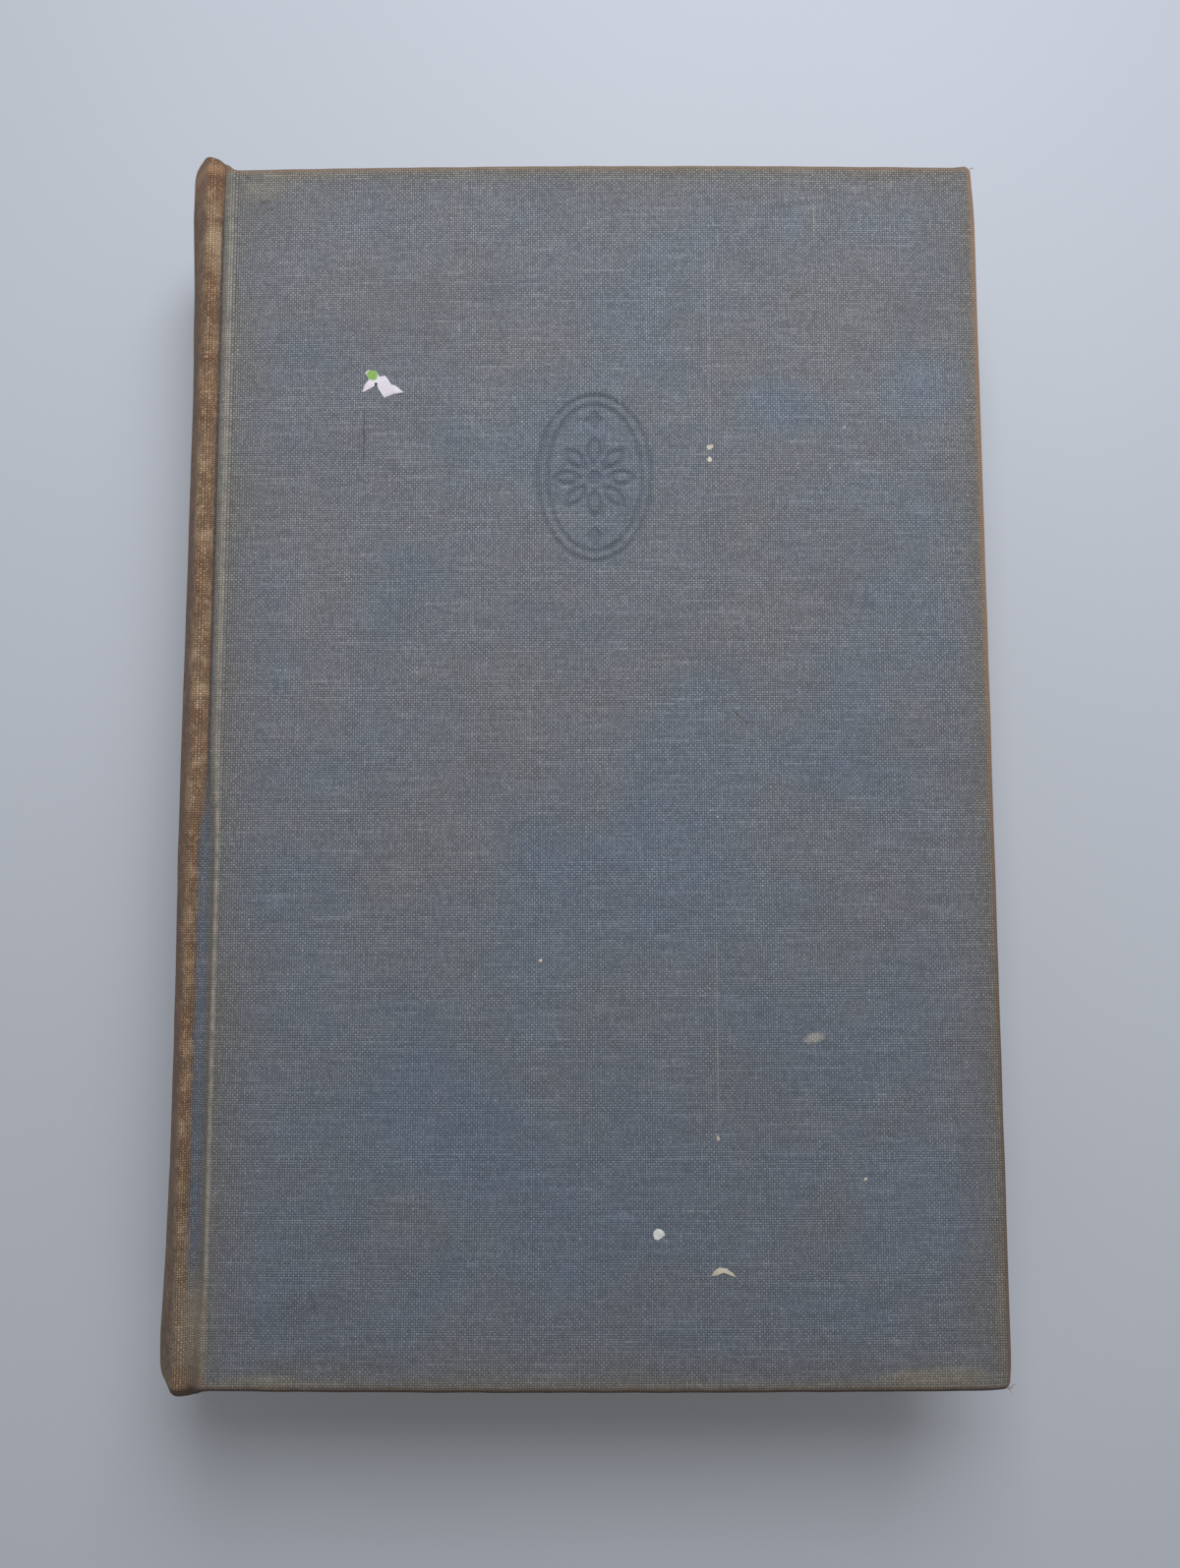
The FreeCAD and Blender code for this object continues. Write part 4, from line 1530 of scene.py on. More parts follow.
    def build(self, name: str, body: str, replaced: str) -> bpy.types.Object:
        """Makes the cloth.

        Args:
            name: the piece's name.
            body: the cover's body.
            replaced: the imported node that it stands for.

        Returns:
            The piece.
        """
        p = self.plan
        inset = self.grid_inset
        o = self.ornament
        reach = (0.0, 0.0) if o is None else (o.half_width + self.margin, o.half_height + self.margin)
        centre = (0.0, 0.0) if o is None else (o.centre_x, o.centre_y)
        xs = self._stops(p.joint_x + inset, p.fore_x - inset, centre[0] - reach[0], centre[0] + reach[0])
        ys = self._stops(p.tail_y + inset, p.head_y - inset, centre[1] - reach[1], centre[1] + reach[1])
        gx, gy = np.meshgrid(xs, ys)
        top = p.cover
        points = [np.stack([gx.ravel(), gy.ravel(), np.full(gx.size, top)], 1)]
        flats = [points[0][:, :2]]
        faces = grid_faces(len(ys), len(xs))
        rings = [(step, other, top, (step, other)) for step, other in ((inset, inset), (1.52, 2.0), (1.48, 1.5))]
        rings += [(joint, other, height, (out, out)) for joint, other, height, out in self._profile()]
        size = len(self._ring(xs, ys, 0, 0, 1))
        for joint, other, height, out in rings:
            corner = max(self.corner_round - other, 0.0)
            outline = self._ring(xs, ys, joint, other, corner)
            points.append(np.column_stack([outline, np.full(size, height)]))
            flats.append(self._ring(xs, ys, *out, max(self.corner_round - out[1], 0.0)))
        start = len(xs) * len(ys)
        faces += [tuple(start + v for v in f) for f in grid_faces(len(rings), size, close_columns=True)]
        last = start + (len(rings) - 1) * size
        faces.append(tuple(range(last, last + size)))
        points, flats = np.concatenate(points), np.concatenate(flats)
        pressed = np.zeros(len(points)) if o is None else o.depth(flats[:, 0], flats[:, 1])
        face = ease(points[:, 2], top - 0.3, top - 0.01)
        face[last:] = 0.0
        pressed = pressed * face
        points = self._shaped(points)
        points[:, 2] += self._relief(points[:, 0], points[:, 1]) * face
        points[:, 2] = np.minimum(points[:, 2], top)
        if self.side is Side.FRONT:
            points[:, 2] += p.top_z - p.cover
        else:
            points[:, 1] = 2 * p.middle_y - points[:, 1]
            points[:, 2] = p.cover - points[:, 2]
        made = make_piece(name, points, faces, self.finish, flats, {"pressed": pressed})
        return settle(made, body, "cover_cloth", replaced)


# Spine


@dataclass
class SpineCloth:
    """Cloth over the round back and both joint grooves, folded in at the head and the tail."""

    plan: BookPlan
    centre_x: float = -42.6
    radius: float = 32.9
    open_groove: tuple = (
        (-63.0, 39.2), (-63.7, 39.13), (-64.4, 38.6), (-65.2, 37.75), (-66.2, 37.4), (-67.1, 37.65),
        (-67.8, 38.35), (-68.75, 38.85), (-69.68, 38.28),
    )
    shut_groove: tuple = (
        (-63.0, 39.2), (-64.0, 39.18), (-64.9, 39.08), (-65.55, 38.8), (-65.95, 38.2), (-66.35, 38.55),
        (-67.1, 38.92), (-68.6, 39.0), (-69.6, 38.38),
    )
    head_line: tuple = (
        (0.0, -0.07), (0.7, 0.05), (1.6, 0.6), (3.4, 1.35), (5.2, 1.9), (7.0, 2.55), (8.3, 2.8), (40.0, 2.9),
    )
    tail_line: tuple = (
        (0.0, -0.03), (1.0, 0.05), (2.2, 0.4), (4.2, 0.95), (6.5, 0.8), (8.0, 0.45), (9.5, -0.1), (11.5, -0.7),
        (14.0, -1.15), (18.0, -1.5), (40.0, -1.3),
    )
    lean: tuple = (
        (-112.0, -0.3), (-104.0, -0.45), (-92.0, 0.0), (-75.0, 0.33), (-45.0, 0.38), (-20.0, 0.15), (0.0, 0.12),
        (30.0, 0.33), (55.0, 0.4), (70.0, 0.45), (91.0, 0.1), (105.0, -0.45), (112.0, -0.4),
    )
    cloth: float = 0.4
    turn_in: float = 15.0
    inlay_from: float = 14.0
    per_key: int = 5
    around: int = 52
    along: int = 126
    seed: int = 21

    def _half(self, keys: Sequence) -> np.ndarray:
        """An outline from the board to the middle of the back, through the groove's key points.

        Args:
            keys: points from the board's face to the foot of the round back.

        Returns:
            Points as x and z.
        """
        k = np.array(keys, dtype=float)
        ends = np.concatenate([[2 * k[0] - k[1]], k, [k[-1] + (k[-1] - k[-2]) * np.array([0.75, 1.5])]])
        points = [k[:1]]
        t = np.linspace(0, 1, self.per_key + 1)[1:, None]
        for i in range(len(k) - 1):
            p0, p1, p2, p3 = ends[i : i + 4]
            square, cube = 2 * p0 - 5 * p1 + 4 * p2 - p3, 3 * p1 - p0 - 3 * p2 + p3
            points.append(0.5 * (2 * p1 + (p2 - p0) * t + square * t**2 + cube * t**3))
        foot = k[-1]
        start = math.atan2(foot[1] - self.plan.middle_z, foot[0] - self.centre_x)
        reach = np.hypot(foot[0] - self.centre_x, foot[1] - self.plan.middle_z)
        turn = np.linspace(start, math.pi, self.around + 1)[1:]
        radius = reach + (self.radius - reach) * ease(turn, start, start + 0.25)
        x, z = self.centre_x + radius * np.cos(turn), self.plan.middle_z + radius * np.sin(turn)
        points.append(np.stack([x, z], 1))
        return np.concatenate(points)

    def _lengths(self) -> np.ndarray:
        """Distance over the cloth to each outline point, from the board's face."""
        opened = self._half(self.open_groove)
        return np.concatenate([[0], np.cumsum(np.hypot(*np.diff(opened, axis=0).T))])

    def _ends(self) -> tuple:
        """How far the cloth stands past the boards at the head and at the tail, at each outline point."""
        lengths = self._lengths()
        return tuple(np.interp(lengths, *np.array(line).T) for line in (self.head_line, self.tail_line))

    def groove(self) -> GrooveMap:
        """Where the groove's features lie on the flat cloth."""
        start, lengths, n = self.open_groove[0][0], self._lengths(), self.per_key
        flat = [start - lengths[int(key * n)] for key in (1.3, 3.0, 4, 5.4, 4.2, 7)]
        return GrooveMap(*flat)

    def _sections(self, y: np.ndarray, half: Side) -> np.ndarray:
        """Outer outline at each place along the book.

        Args:
            y: places along the book.
            half: front or back half.

        Returns:
            An array of outline points by place along the book, as x and z.
        """
        opened, shut = self._half(self.open_groove), self._half(self.shut_groove)
        groove = self.groove()
        if half is Side.FRONT:
            crease = ease(y, groove.shut_from, groove.shut_to)
            crease = np.maximum(crease, 0.55 * ease(-y, 92.0, 104.0)) + 0.04 * soft_noise(y, y * 0, 17.0, self.seed)
        else:
            crease = 0.3 + 0.1 * soft_noise(y, y * 0, 40.0, self.seed)
        crease = np.clip(crease, 0, 1)[:, None, None]
        sections = opened[None] * (1 - crease) + shut[None] * crease
        where = self._lengths()[None, :]
        back = ease(where, 7.0, 14.0)
        place = (y[:, None], where)
        swell = 0.08 * soft_noise(*place, 24.0, self.seed + 1) + 0.04 * soft_noise(*place, 8.0, self.seed + 2)
        shift = np.interp(y, *np.array(self.lean).T)[:, None]
        sections[:, :, 0] += (shift - np.abs(swell)) * back
        ripple = 0.035 * soft_noise(*place, 6.0, self.seed + 3) * ease(where, 0.8, 3.0) * (1 - back)
        sections[:, :, 1] -= np.abs(ripple)
        return sections

    def _shares(self) -> list:
        """Shares of the way from tail to head, closer together near both ends."""
        t = np.linspace(0, 1, self.along)
        return list(t - 0.075 * np.sin(2 * math.pi * t))

    def _fold_path(self, fold: float) -> list:
        """One closed loop through the cloth from tail to head and back inside it.

        Args:
            fold: radius of the outside of the fold.

        Returns:
            For each point: share of the way along, distance past that place, depth under the outside, flat extra.
        """
        c, t = self.cloth, self.turn_in
        turns = np.linspace(-math.pi / 2, math.pi / 2, 11)
        arc = fold * math.pi
        inner = max(fold - c, 0.05)
        ends = []
        for share in (1.0, 0.0):
            way = 1 if share else -1
            end = [
                (share, way * fold * math.cos(a), fold + fold * math.sin(a), way * fold * (a + math.pi / 2))
                for a in turns[1:]
            ]
            end += [(share, -way * s, 2 * fold, way * (arc + s)) for s in (4.0, 9.0, t)]
            end += [(share, -way * t, 2 * fold - c * 0.6, way * (arc + t))]
            end += [(share, -way * s, 2 * fold - c * 0.8, way * (arc + s)) for s in (8.0, 1.0)]
            back = turns[::-1][1:-1:2]
            end += [(share, way * inner * math.cos(a), fold + inner * math.sin(a), way) for a in back]
            ends.append(end)
        outside = [(s, 0.0, 0.0, 0.0) for s in self._shares()]
        inside = [(s, 0.0, c, 0.0) for s in self._shares()[::-1]]
        return outside + ends[0] + inside + ends[1][::-1]

    def build_inlay(self, finish: bpy.types.Material) -> bpy.types.Object:
        """Makes the stiff paper inside the round back, cut to fit between the two folds.

        Args:
            finish: the paper's material.

        Returns:
            The piece.
        """
        p = self.plan
        lengths = self._lengths()
        near, deep = self.cloth + 0.03, self.cloth + 0.37
        start = int(np.searchsorted(lengths, self.inlay_from))
        head, tail = self._ends()
        shares = np.linspace(0, 1, self.along // 2)
        columns = []
        to_middle, from_middle = range(start, len(lengths)), range(len(lengths) - 2, start - 1, -1)
        for half, order in ((Side.FRONT, to_middle), (Side.BACK, from_middle)):
            for index in order:
                low, high = p.tail_y - tail[index] + 0.7, p.head_y + head[index] - 0.7
                y = low + shares * (high - low)
                outline = self._sections(y, half)
                run = outline[:, min(index + 1, len(lengths) - 1)] - outline[:, index - 1]
                inward = np.stack([-run[:, 1], run[:, 0]], 1) / np.hypot(run[:, 0], run[:, 1])[:, None]
                if index == len(lengths) - 1:
                    inward = np.tile([1.0, 0.0], (len(y), 1))
                loop = []
                for depth, turned in ((near, 1), (deep, -1)):
                    spot = outline[:, index] + inward * depth
                    z = spot[:, 1] if half is Side.FRONT else p.top_z - spot[:, 1]
                    loop.append(np.stack([spot[:, 0], y, z], 1)[::turned])
                columns.append(np.concatenate(loop))
        faces = tube_faces(len(columns), len(columns[0]))
        made = make_piece("spine_inlay_fitted", np.concatenate(columns), faces, finish)
        return settle(made, "text_block", "lining_paper", "spine_inlay")

    def build(self, half: Side, finish: bpy.types.Material, replaced: Sequence[str]) -> bpy.types.Object:
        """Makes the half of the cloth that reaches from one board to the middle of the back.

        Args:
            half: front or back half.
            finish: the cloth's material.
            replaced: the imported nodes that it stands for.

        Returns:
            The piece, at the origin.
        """
        p = self.plan
        lengths = self._lengths()
        head, tail = self._ends()
        folds = np.interp(lengths, (0.0, 0.8, 2.6, 6.5, 9.0), (1.0, 0.95, 0.5, 0.42, 0.6))
        rows, flats, around = [], [], []
        for index in range(len(lengths)):
            fold = folds[index]
            path = np.array(self._fold_path(fold))
            low, high = p.tail_y - tail[index] + fold, p.head_y + head[index] - fold
            y = low + path[:, 0] * (high - low)
            outline = self._sections(y, half)
            before, after = max(index - 8, 0), min(index + 8, len(lengths) - 1)
            run = outline[:, after] - outline[:, before]
            run = run / (np.hypot(run[:, 0], run[:, 1])[:, None] + 1e-9)
            inward = np.stack([-run[:, 1], run[:, 0]], 1)
            if index == len(lengths) - 1:
                inward = np.tile([1.0, 0.0], (len(y), 1))
            spot = outline[:, index] + inward * path[:, 2:3]
            rows.append(np.stack([spot[:, 0], y + path[:, 1], spot[:, 1]], 1))
            flats.append(np.stack([np.full(len(y), self.open_groove[0][0] - lengths[index]), y + path[:, 3]], 1))
            whole = lengths[index] if half is Side.FRONT else 2 * lengths[-1] - lengths[index]
            around.append(np.full(len(y), whole * MM))
        points = np.concatenate(rows)
        faces = tube_faces(len(rows), len(rows[0]))
        name, cover, hinge_z = "spine_cloth_front", "front_cover", p.hinge_z
        if half is Side.BACK:
            points[:, 2] = p.top_z - points[:, 2]
            name, cover, hinge_z = "spine_cloth_back", "back_cover", p.top_z - p.hinge_z
        masks = {"around": np.concatenate(around)}
        made = make_piece(name, points, faces, finish, np.concatenate(flats), masks)
        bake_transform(made)
        if replaced:
            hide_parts(*replaced)
        log.info("%s: %d faces, bends to %s", name, len(made.data.polygons), cover)
        return made


# Leaves


@dataclass
class Leaves:
    """The sewn leaves, as thin bundles that bend outwards to the ridges at the back."""

    plan: BookPlan
    finish: bpy.types.Material
    bundles: int = 126
    half_height: float = 15.8
    back_radius: float = 30.9
    shoulder: float = 17.95
    hollow: float = 4.5
    spare: float = 0.1

    def _tree(self) -> GrowthTree:
        """Builds the tree that bends and stacks the bundles.

        Returns:
            The tree.
        """
        p = self.plan
        low, high = p.leaves_low, p.leaves_high
        tree = GrowthTree("stacked leaves", {
            "Count": self.bundles, "Half Height": self.half_height * MM, "Shoulder Height": self.shoulder * MM,
            "Back Centre": (low[0] + self.back_radius) * MM, "Back Radius": self.back_radius * MM,
            "Fore Edge": high[0] * MM, "Hollow": self.hollow * MM, "Tail": low[1] * MM, "Head": high[1] * MM,
            "Middle": p.middle_z * MM, "Uneven": self.spare * MM, "Seed": 5, "Finish": self.finish,
        })
        b, g = tree.bench, tree.given
        line = b.node("GeometryNodeMeshLine", {"Count": g["Count"], "Offset": (0.0, 0.0, 0.0)}, mode="OFFSET")
        points, number = tree.captured_index(line.outputs[0])
        slab_inputs = {"Vertices X": 18, "Vertices Y": 2, "Vertices Z": 2, "Size": (1.0, 1.0, 1.0)}
        slab = b.node("GeometryNodeMeshCube", slab_inputs).outputs[0]
        real = tree.real(tree.copies(points, slab))
        x, y, z = b.split(b.node("GeometryNodeInputPosition").outputs[0])
        rank = b.plus(b.plus(number, 0.5), b.times(z, 0.94))
        t = b.minus(b.math("DIVIDE", b.times(rank, 2.0), g["Count"]), 1.0)
        level, raised = b.times(t, g["Half Height"]), b.times(t, g["Shoulder Height"])
        square = b.math("POWER", g["Back Radius"], 2.0)
        fall = b.math("SQRT", b.minus(square, b.times(raised, raised)))
        back = b.minus(g["Back Centre"], fall)
        section = b.math("FLOOR", b.math("DIVIDE", number, 7.0))
        uneven = g["Uneven"]
        leaf_shift = tree.draw(number, b.times(uneven, -1.0), 0.0, 1)
        shift = b.plus(leaf_shift, tree.draw(section, b.times(uneven, -1.5), 0.0, 2))
        bulge = b.minus(1.0, b.times(t, t))
        front = b.plus(b.minus(g["Fore Edge"], b.times(g["Hollow"], bulge)), shift)
        share = b.math("POWER", b.plus(x, 0.5), 3.0)
        new_x = b.blend(share, back, front)
        flare = b.plus(b.times(bulge, 0.007), 0.0017)
        depth = b.math("DIVIDE", b.minus(b.plus(back, flare), new_x), flare)
        bend = b.node("ShaderNodeClamp", {0: depth}).outputs[0]
        lift = b.times(b.minus(raised, level), b.times(bend, bend))
        new_z = b.plus(g["Middle"], b.plus(level, lift))
        tail = b.plus(g["Tail"], tree.draw(number, 0.0, uneven, 3))
        head = b.plus(g["Head"], tree.draw(number, b.times(uneven, -1.0), 0.0, 4))
        new_y = b.blend(b.plus(y, 0.5), tail, head)
        inputs = {"Geometry": tree.named(real, "leaf", rank), "Position": b.join(new_x, new_y, new_z)}
        tree.finish(b.node("GeometryNodeSetPosition", inputs).outputs[0])
        return tree

    def build(self) -> bpy.types.Object:
        """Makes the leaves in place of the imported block."""
        return settle(self._tree().grow("leaves"), "text_block", "leaves", "text_block")


@dataclass
class HeadBand:
    """A cord wound with thread, across the back of the leaves at one end."""

    plan: BookPlan
    finish: bpy.types.Material
    bead: float = 0.95
    thread: float = 0.2
    back_radius: float = 30.9
    half_height: float = 13.6
    turns: int = 90

    def _tree(self) -> GrowthTree:
        """Builds the tree that winds the thread along the cord.

        Returns:
            The tree.
        """
        tree = GrowthTree("wound band", {
            "Turns": self.turns, "Cord Radius": (self.bead - self.thread) * MM, "Thread Radius": self.thread * MM,
            "Seed": 2, "Finish": self.finish,
        })
        b, g = tree.bench, tree.given
        path = b.node("GeometryNodeMeshToCurve", {0: g["Geometry"]}).outputs[0]
        spots = b.node("GeometryNodeCurveToPoints", {"Curve": path, "Count": g["Turns"]}, mode="COUNT")
        points, number = tree.captured_index(spots.outputs["Points"])
        hoop, round_thread = tree.circle(14, g["Cord Radius"]), tree.circle(6, g["Thread Radius"])
        ring = b.node("GeometryNodeCurveToMesh", {"Curve": hoop, "Profile Curve": round_thread}).outputs[0]
        real = tree.real(tree.copies(points, ring, Rotation=spots.outputs["Rotation"]))
        turn = b.math("FLOORED_MODULO", b.math("FLOOR", b.math("DIVIDE", number, 5.0)), 2.0)
        inputs = {"Curve": path, "Profile Curve": tree.circle(12, g["Cord Radius"]), "Fill Caps": True}
        core = b.node("GeometryNodeCurveToMesh", inputs).outputs[0]
        both = b.node("GeometryNodeJoinGeometry")
        b.feed(both.inputs[0], tree.named(real, "stripe", turn))
        b.feed(both.inputs[0], core)
        tree.finish(both.outputs[0])
        return tree

    def build(self, name: str, y: float, replaced: str) -> bpy.types.Object:
        """Winds one band.

        Args:
            name: the piece's name.
            y: the middle of the cord along the book.
            replaced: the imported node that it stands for.

        Returns:
            The piece.
        """
        centre_x = self.plan.leaves_low[0] + self.back_radius
        radius = self.back_radius - self.bead
        heights = np.linspace(-self.half_height, self.half_height, 40)
        path = [
            ((centre_x - math.sqrt(radius**2 - h**2)) * MM, y * MM, (self.plan.middle_z + h) * MM) for h in heights
        ]
        base = bpy.data.meshes.new(name + "_path")
        base.from_pydata(path, [(i, i + 1) for i in range(len(path) - 1)], [])
        return settle(self._tree().grow(name, base), "text_block", "headband", replaced)


@dataclass
class EndpaperJoint:
    """The strip of endpaper that crosses a joint, from the flyleaf's fold to the board."""

    plan: BookPlan
    finish: bpy.types.Material
    paper: float = 0.12
    fold_x: float = -67.55
    overlap: float = 0.6

    def build(self, side: Side) -> bpy.types.Object:
        """Makes the strip of one side.

        Args:
            side: front or back.

        Returns:
            The piece.
        """
        p = self.plan
        xs = np.linspace(self.fold_x, p.joint_x + self.overlap, 25)
        ys = np.linspace(p.leaves_low[1] + 0.3, p.leaves_high[1] - 0.3, 60)
        gx, gy = np.meshgrid(xs, ys)
        base = p.top_z - p.cover + 0.205
        lift = 0.02 * soft_noise(gx * 3, gy, 30.0, 8)
        low = np.stack([gx.ravel(), gy.ravel(), (base + 0 * gx).ravel()], 1)
        high = np.stack([gx.ravel(), gy.ravel(), (base + self.paper + lift * 0.5).ravel()], 1)
        n = len(low)
        rim = list(range(len(xs))) + [r * len(xs) + len(xs) - 1 for r in range(1, len(ys))]
        rim += [(len(ys) - 1) * len(xs) + c for c in range(len(xs) - 2, -1, -1)]
        rim += [r * len(xs) for r in range(len(ys) - 2, 0, -1)]
        faces = [tuple(n + v for v in f) for f in grid_faces(len(ys), len(xs))]
        faces += [tuple(reversed(f)) for f in grid_faces(len(ys), len(xs))]
        faces += [(rim[i], rim[(i + 1) % len(rim)], n + rim[(i + 1) % len(rim)], n + rim[i]) for i in range(len(rim))]
        points = np.concatenate([low, high])
        name, cover, z = "front_endpaper_joint", "front_cover", p.hinge_z
        if side is Side.BACK:
            points[:, 2] = p.top_z - points[:, 2]
            name, cover, z = "back_endpaper_joint", "back_cover", p.top_z - p.hinge_z
        made = make_piece(name, points, faces, self.finish)
        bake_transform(made)
        log.info("%s: bends to %s", name, cover)
        return made


# Small things on the front cover


@dataclass
class StuckPiece:
    """A thin, uneven scrap or drop that sticks to the front cover."""

    plan: BookPlan
    finish: bpy.types.Material
    thickness: float = 0.1
    curl: float = 0.0
    dome: float = 0.0
    seed: int = 1

    def build(self, name: str, slot: str, outline: Sequence, replaced: Sequence[str] = ()) -> bpy.types.Object:
        """Makes the piece.

        Args:
            name: the piece's name.
            slot: the record's finish slot.
            outline: corners in turn, anticlockwise, on the cover.
            replaced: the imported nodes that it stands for.

        Returns:
            The piece.
        """
        corners = np.array(outline, dtype=float)
        following = np.roll(corners, -1, axis=0)
        shares = np.linspace(0, 1, 7)[:-1, None]
        rim = np.concatenate([a + (b - a) * shares for a, b in zip(corners, following)])
        x, y = rim.T
        rim = rim + 0.05 * np.stack([soft_noise(x, y, 0.9, self.seed), soft_noise(y, x, 0.9, self.seed + 4)], 1)
        centre = rim.mean(axis=0)
        rings, rows = (1.0, 0.97, 0.75, 0.5, 0.25), []
        base = self.plan.top_z - 0.07
        for share in rings:
            flat = centre + (rim - centre) * share
            lift = self.curl * ease(np.hypot(*(flat - centre).T), 1.0, 4.5) + self.dome * (1 - share**2)
            top = self.thickness * (0.35 if share == 1.0 else 1.0)
            rows.append(np.column_stack([flat, base + top + lift]))
        bottom = np.column_stack([rim, rows[0][:, 2] - self.thickness * 0.35 - 0.01])
        n = len(rim)
        middle = np.array([[*centre, base + self.thickness + self.dome], [*centre, base]])
        points = np.concatenate([bottom] + rows + [middle])
        faces = grid_faces(len(rings) + 1, n, close_columns=True)
        last, hub = len(rings) * n, (len(rings) + 1) * n
        faces += [(last + i, last + (i + 1) % n, hub) for i in range(n)]
        faces += [((i + 1) % n, i, hub + 1) for i in range(n)]
        return settle(make_piece(name, points, faces, self.finish, crease=60.0), "front_cover", slot, *replaced)


@dataclass
class FrayedThreads:
    """Loose ends of thread where the cloth is worn through."""

    finish: bpy.types.Material
    length: float = 1.1
    radius: float = 0.05
    seed: int = 4

    def _tree(self) -> GrowthTree:
        """Builds the tree that plants a bent thread on each point.

        Returns:
            The tree.
        """
        tree = GrowthTree("frayed threads", {
            "Length": self.length * MM, "Thread Radius": self.radius * MM, "Seed": self.seed, "Finish": self.finish,
        })
        b, g = tree.bench, tree.given
        points, number = tree.captured_index(b.node("GeometryNodeMeshToPoints", {0: g["Geometry"]}).outputs[0])
        side = b.times(g["Length"], 0.35)
        middle = b.join(b.times(g["Length"], 0.6), side, b.times(side, 0.6))
        inputs = {"Resolution": 5, "Start": (0.0, 0.0, 0.0), "Middle": middle, "End": b.join(g["Length"], 0.0, side)}
        bent = b.node("GeometryNodeCurveQuadraticBezier", inputs).outputs[0]
        inputs = {"Curve": bent, "Profile Curve": tree.circle(4, g["Thread Radius"]), "Fill Caps": True}
        thread = b.node("GeometryNodeCurveToMesh", inputs).outputs[0]
        limits = ((-3.1, 3.1), (-0.5, 0.25), (-1.3, 1.3))
        turn = b.join(*(tree.draw(number, *pair, offset) for offset, pair in enumerate(limits, 1)))
        size = tree.draw(number, 0.35, 1.0, 4)
        tree.finish(tree.copies(points, thread, Rotation=turn, Scale=b.join(size, 1.0, size)))
        return tree

    def build(self, name: str, body: str, spots: Sequence) -> bpy.types.Object:
        """Plants threads at places in millimetres.

        Args:
            name: the piece's name.
            body: the cover's body.
            spots: where the threads start.

        Returns:
            The piece.
        """
        base = bpy.data.meshes.new(name + "_spots")
        base.from_pydata([tuple(v * MM for v in spot) for spot in spots], [], [])
        return settle(self._tree().grow(name, base), body, "cover_cloth")


# Room


@dataclass
class Studio:
    """A pale floor, one soft lamp towards the head of the book, a soft sky and the camera."""

    floor_size: float = 6000.0
    lamp_place: tuple = (50.0, 255.0, 430.0)
    lamp_aim: tuple = (0.0, -10.0, 30.0)
    lamp_size: float = 300.0
    lamp_power: float = 2.68
    sky: float = 0.42
    sky_colour: Colour = (1.0, 0.965, 0.925)
    backdrop: Colour = linear(205, 210, 217)
    focal_px: float = 1300.0
    frame_px: tuple = (1200, 1595)
    camera_place: tuple = (3.59, -29.1, 267.75)
    camera_turn: tuple = (0.09742, 0.00274, -0.00166)

    def build(self) -> None:
        """Sets up floor, lights, sky and camera."""
        scene = bpy.context.scene
        half = self.floor_size / 2
        corners = [(-half, -half, 0), (half, -half, 0), (half, half, 0), (-half, half, 0)]
        mesh = bpy.data.meshes.new("floor")
        mesh.from_pydata([tuple(v * MM for v in c) for c in corners], [], [(0, 1, 2, 3)])
        mesh.materials.append(TableTop().material())
        floor = bpy.data.objects.new("floor", mesh)
        scene.collection.objects.link(floor)
        lamp = bpy.data.lights.new("soft lamp", "AREA")
        lamp.shape, lamp.size, lamp.energy = "SQUARE", self.lamp_size * MM, self.lamp_power
        holder = bpy.data.objects.new("soft lamp", lamp)
        holder.location = Vector(self.lamp_place) * MM
        holder.rotation_euler = (Vector(self.lamp_aim) - Vector(self.lamp_place)).to_track_quat("-Z", "Y").to_euler()
        holder.visible_camera = False
        scene.collection.objects.link(holder)
        world = bpy.data.worlds.new("soft sky")
        world.use_nodes = True
        bench = NodeBench(world.node_tree)
        background = world.node_tree.nodes["Background"]
        seen = bench.node("ShaderNodeLightPath").outputs["Is Camera Ray"]
        bench.feed(background.inputs["Color"], bench.tint(seen, self.sky_colour, self.backdrop))
        bench.feed(background.inputs["Strength"], bench.blend(seen, self.sky, 1.0))
        scene.world = world
        lens = bpy.data.cameras.new("camera")
        lens.sensor_fit, lens.sensor_height = "VERTICAL", 36.0
        lens.lens = self.focal_px * lens.sensor_height / self.frame_px[1]
        lens.clip_start, lens.clip_end = 0.01, 100.0
        camera = bpy.data.objects.new("camera", lens)
        camera.location, camera.rotation_euler = Vector(self.camera_place) * MM, self.camera_turn
        scene.collection.objects.link(camera)
        scene.camera = camera
        scene.view_settings.view_transform = "Standard"


def blob(x: float, y: float, long: float, wide: float, turn: float = 0.0, corners: int = 9, seed: int = 0) -> list:
    """Corners of an uneven oval.

    Args:
        x, y: its centre.
        long, wide: its half sizes.
        turn: how far it is turned, in radians.
        corners: how many corners it has.
        seed: picks one shape.

    Returns:
        The corners in turn.
    """
    draws = np.random.default_rng(seed)
    shape = []
    for index in range(corners):
        angle = 2 * math.pi * index / corners
        size = draws.uniform(0.8, 1.15)
        u, v = long * size * math.cos(angle), wide * size * math.sin(angle)
        shape.append((x + u * math.cos(turn) - v * math.sin(turn), y + u * math.sin(turn) + v * math.cos(turn)))
    return shape


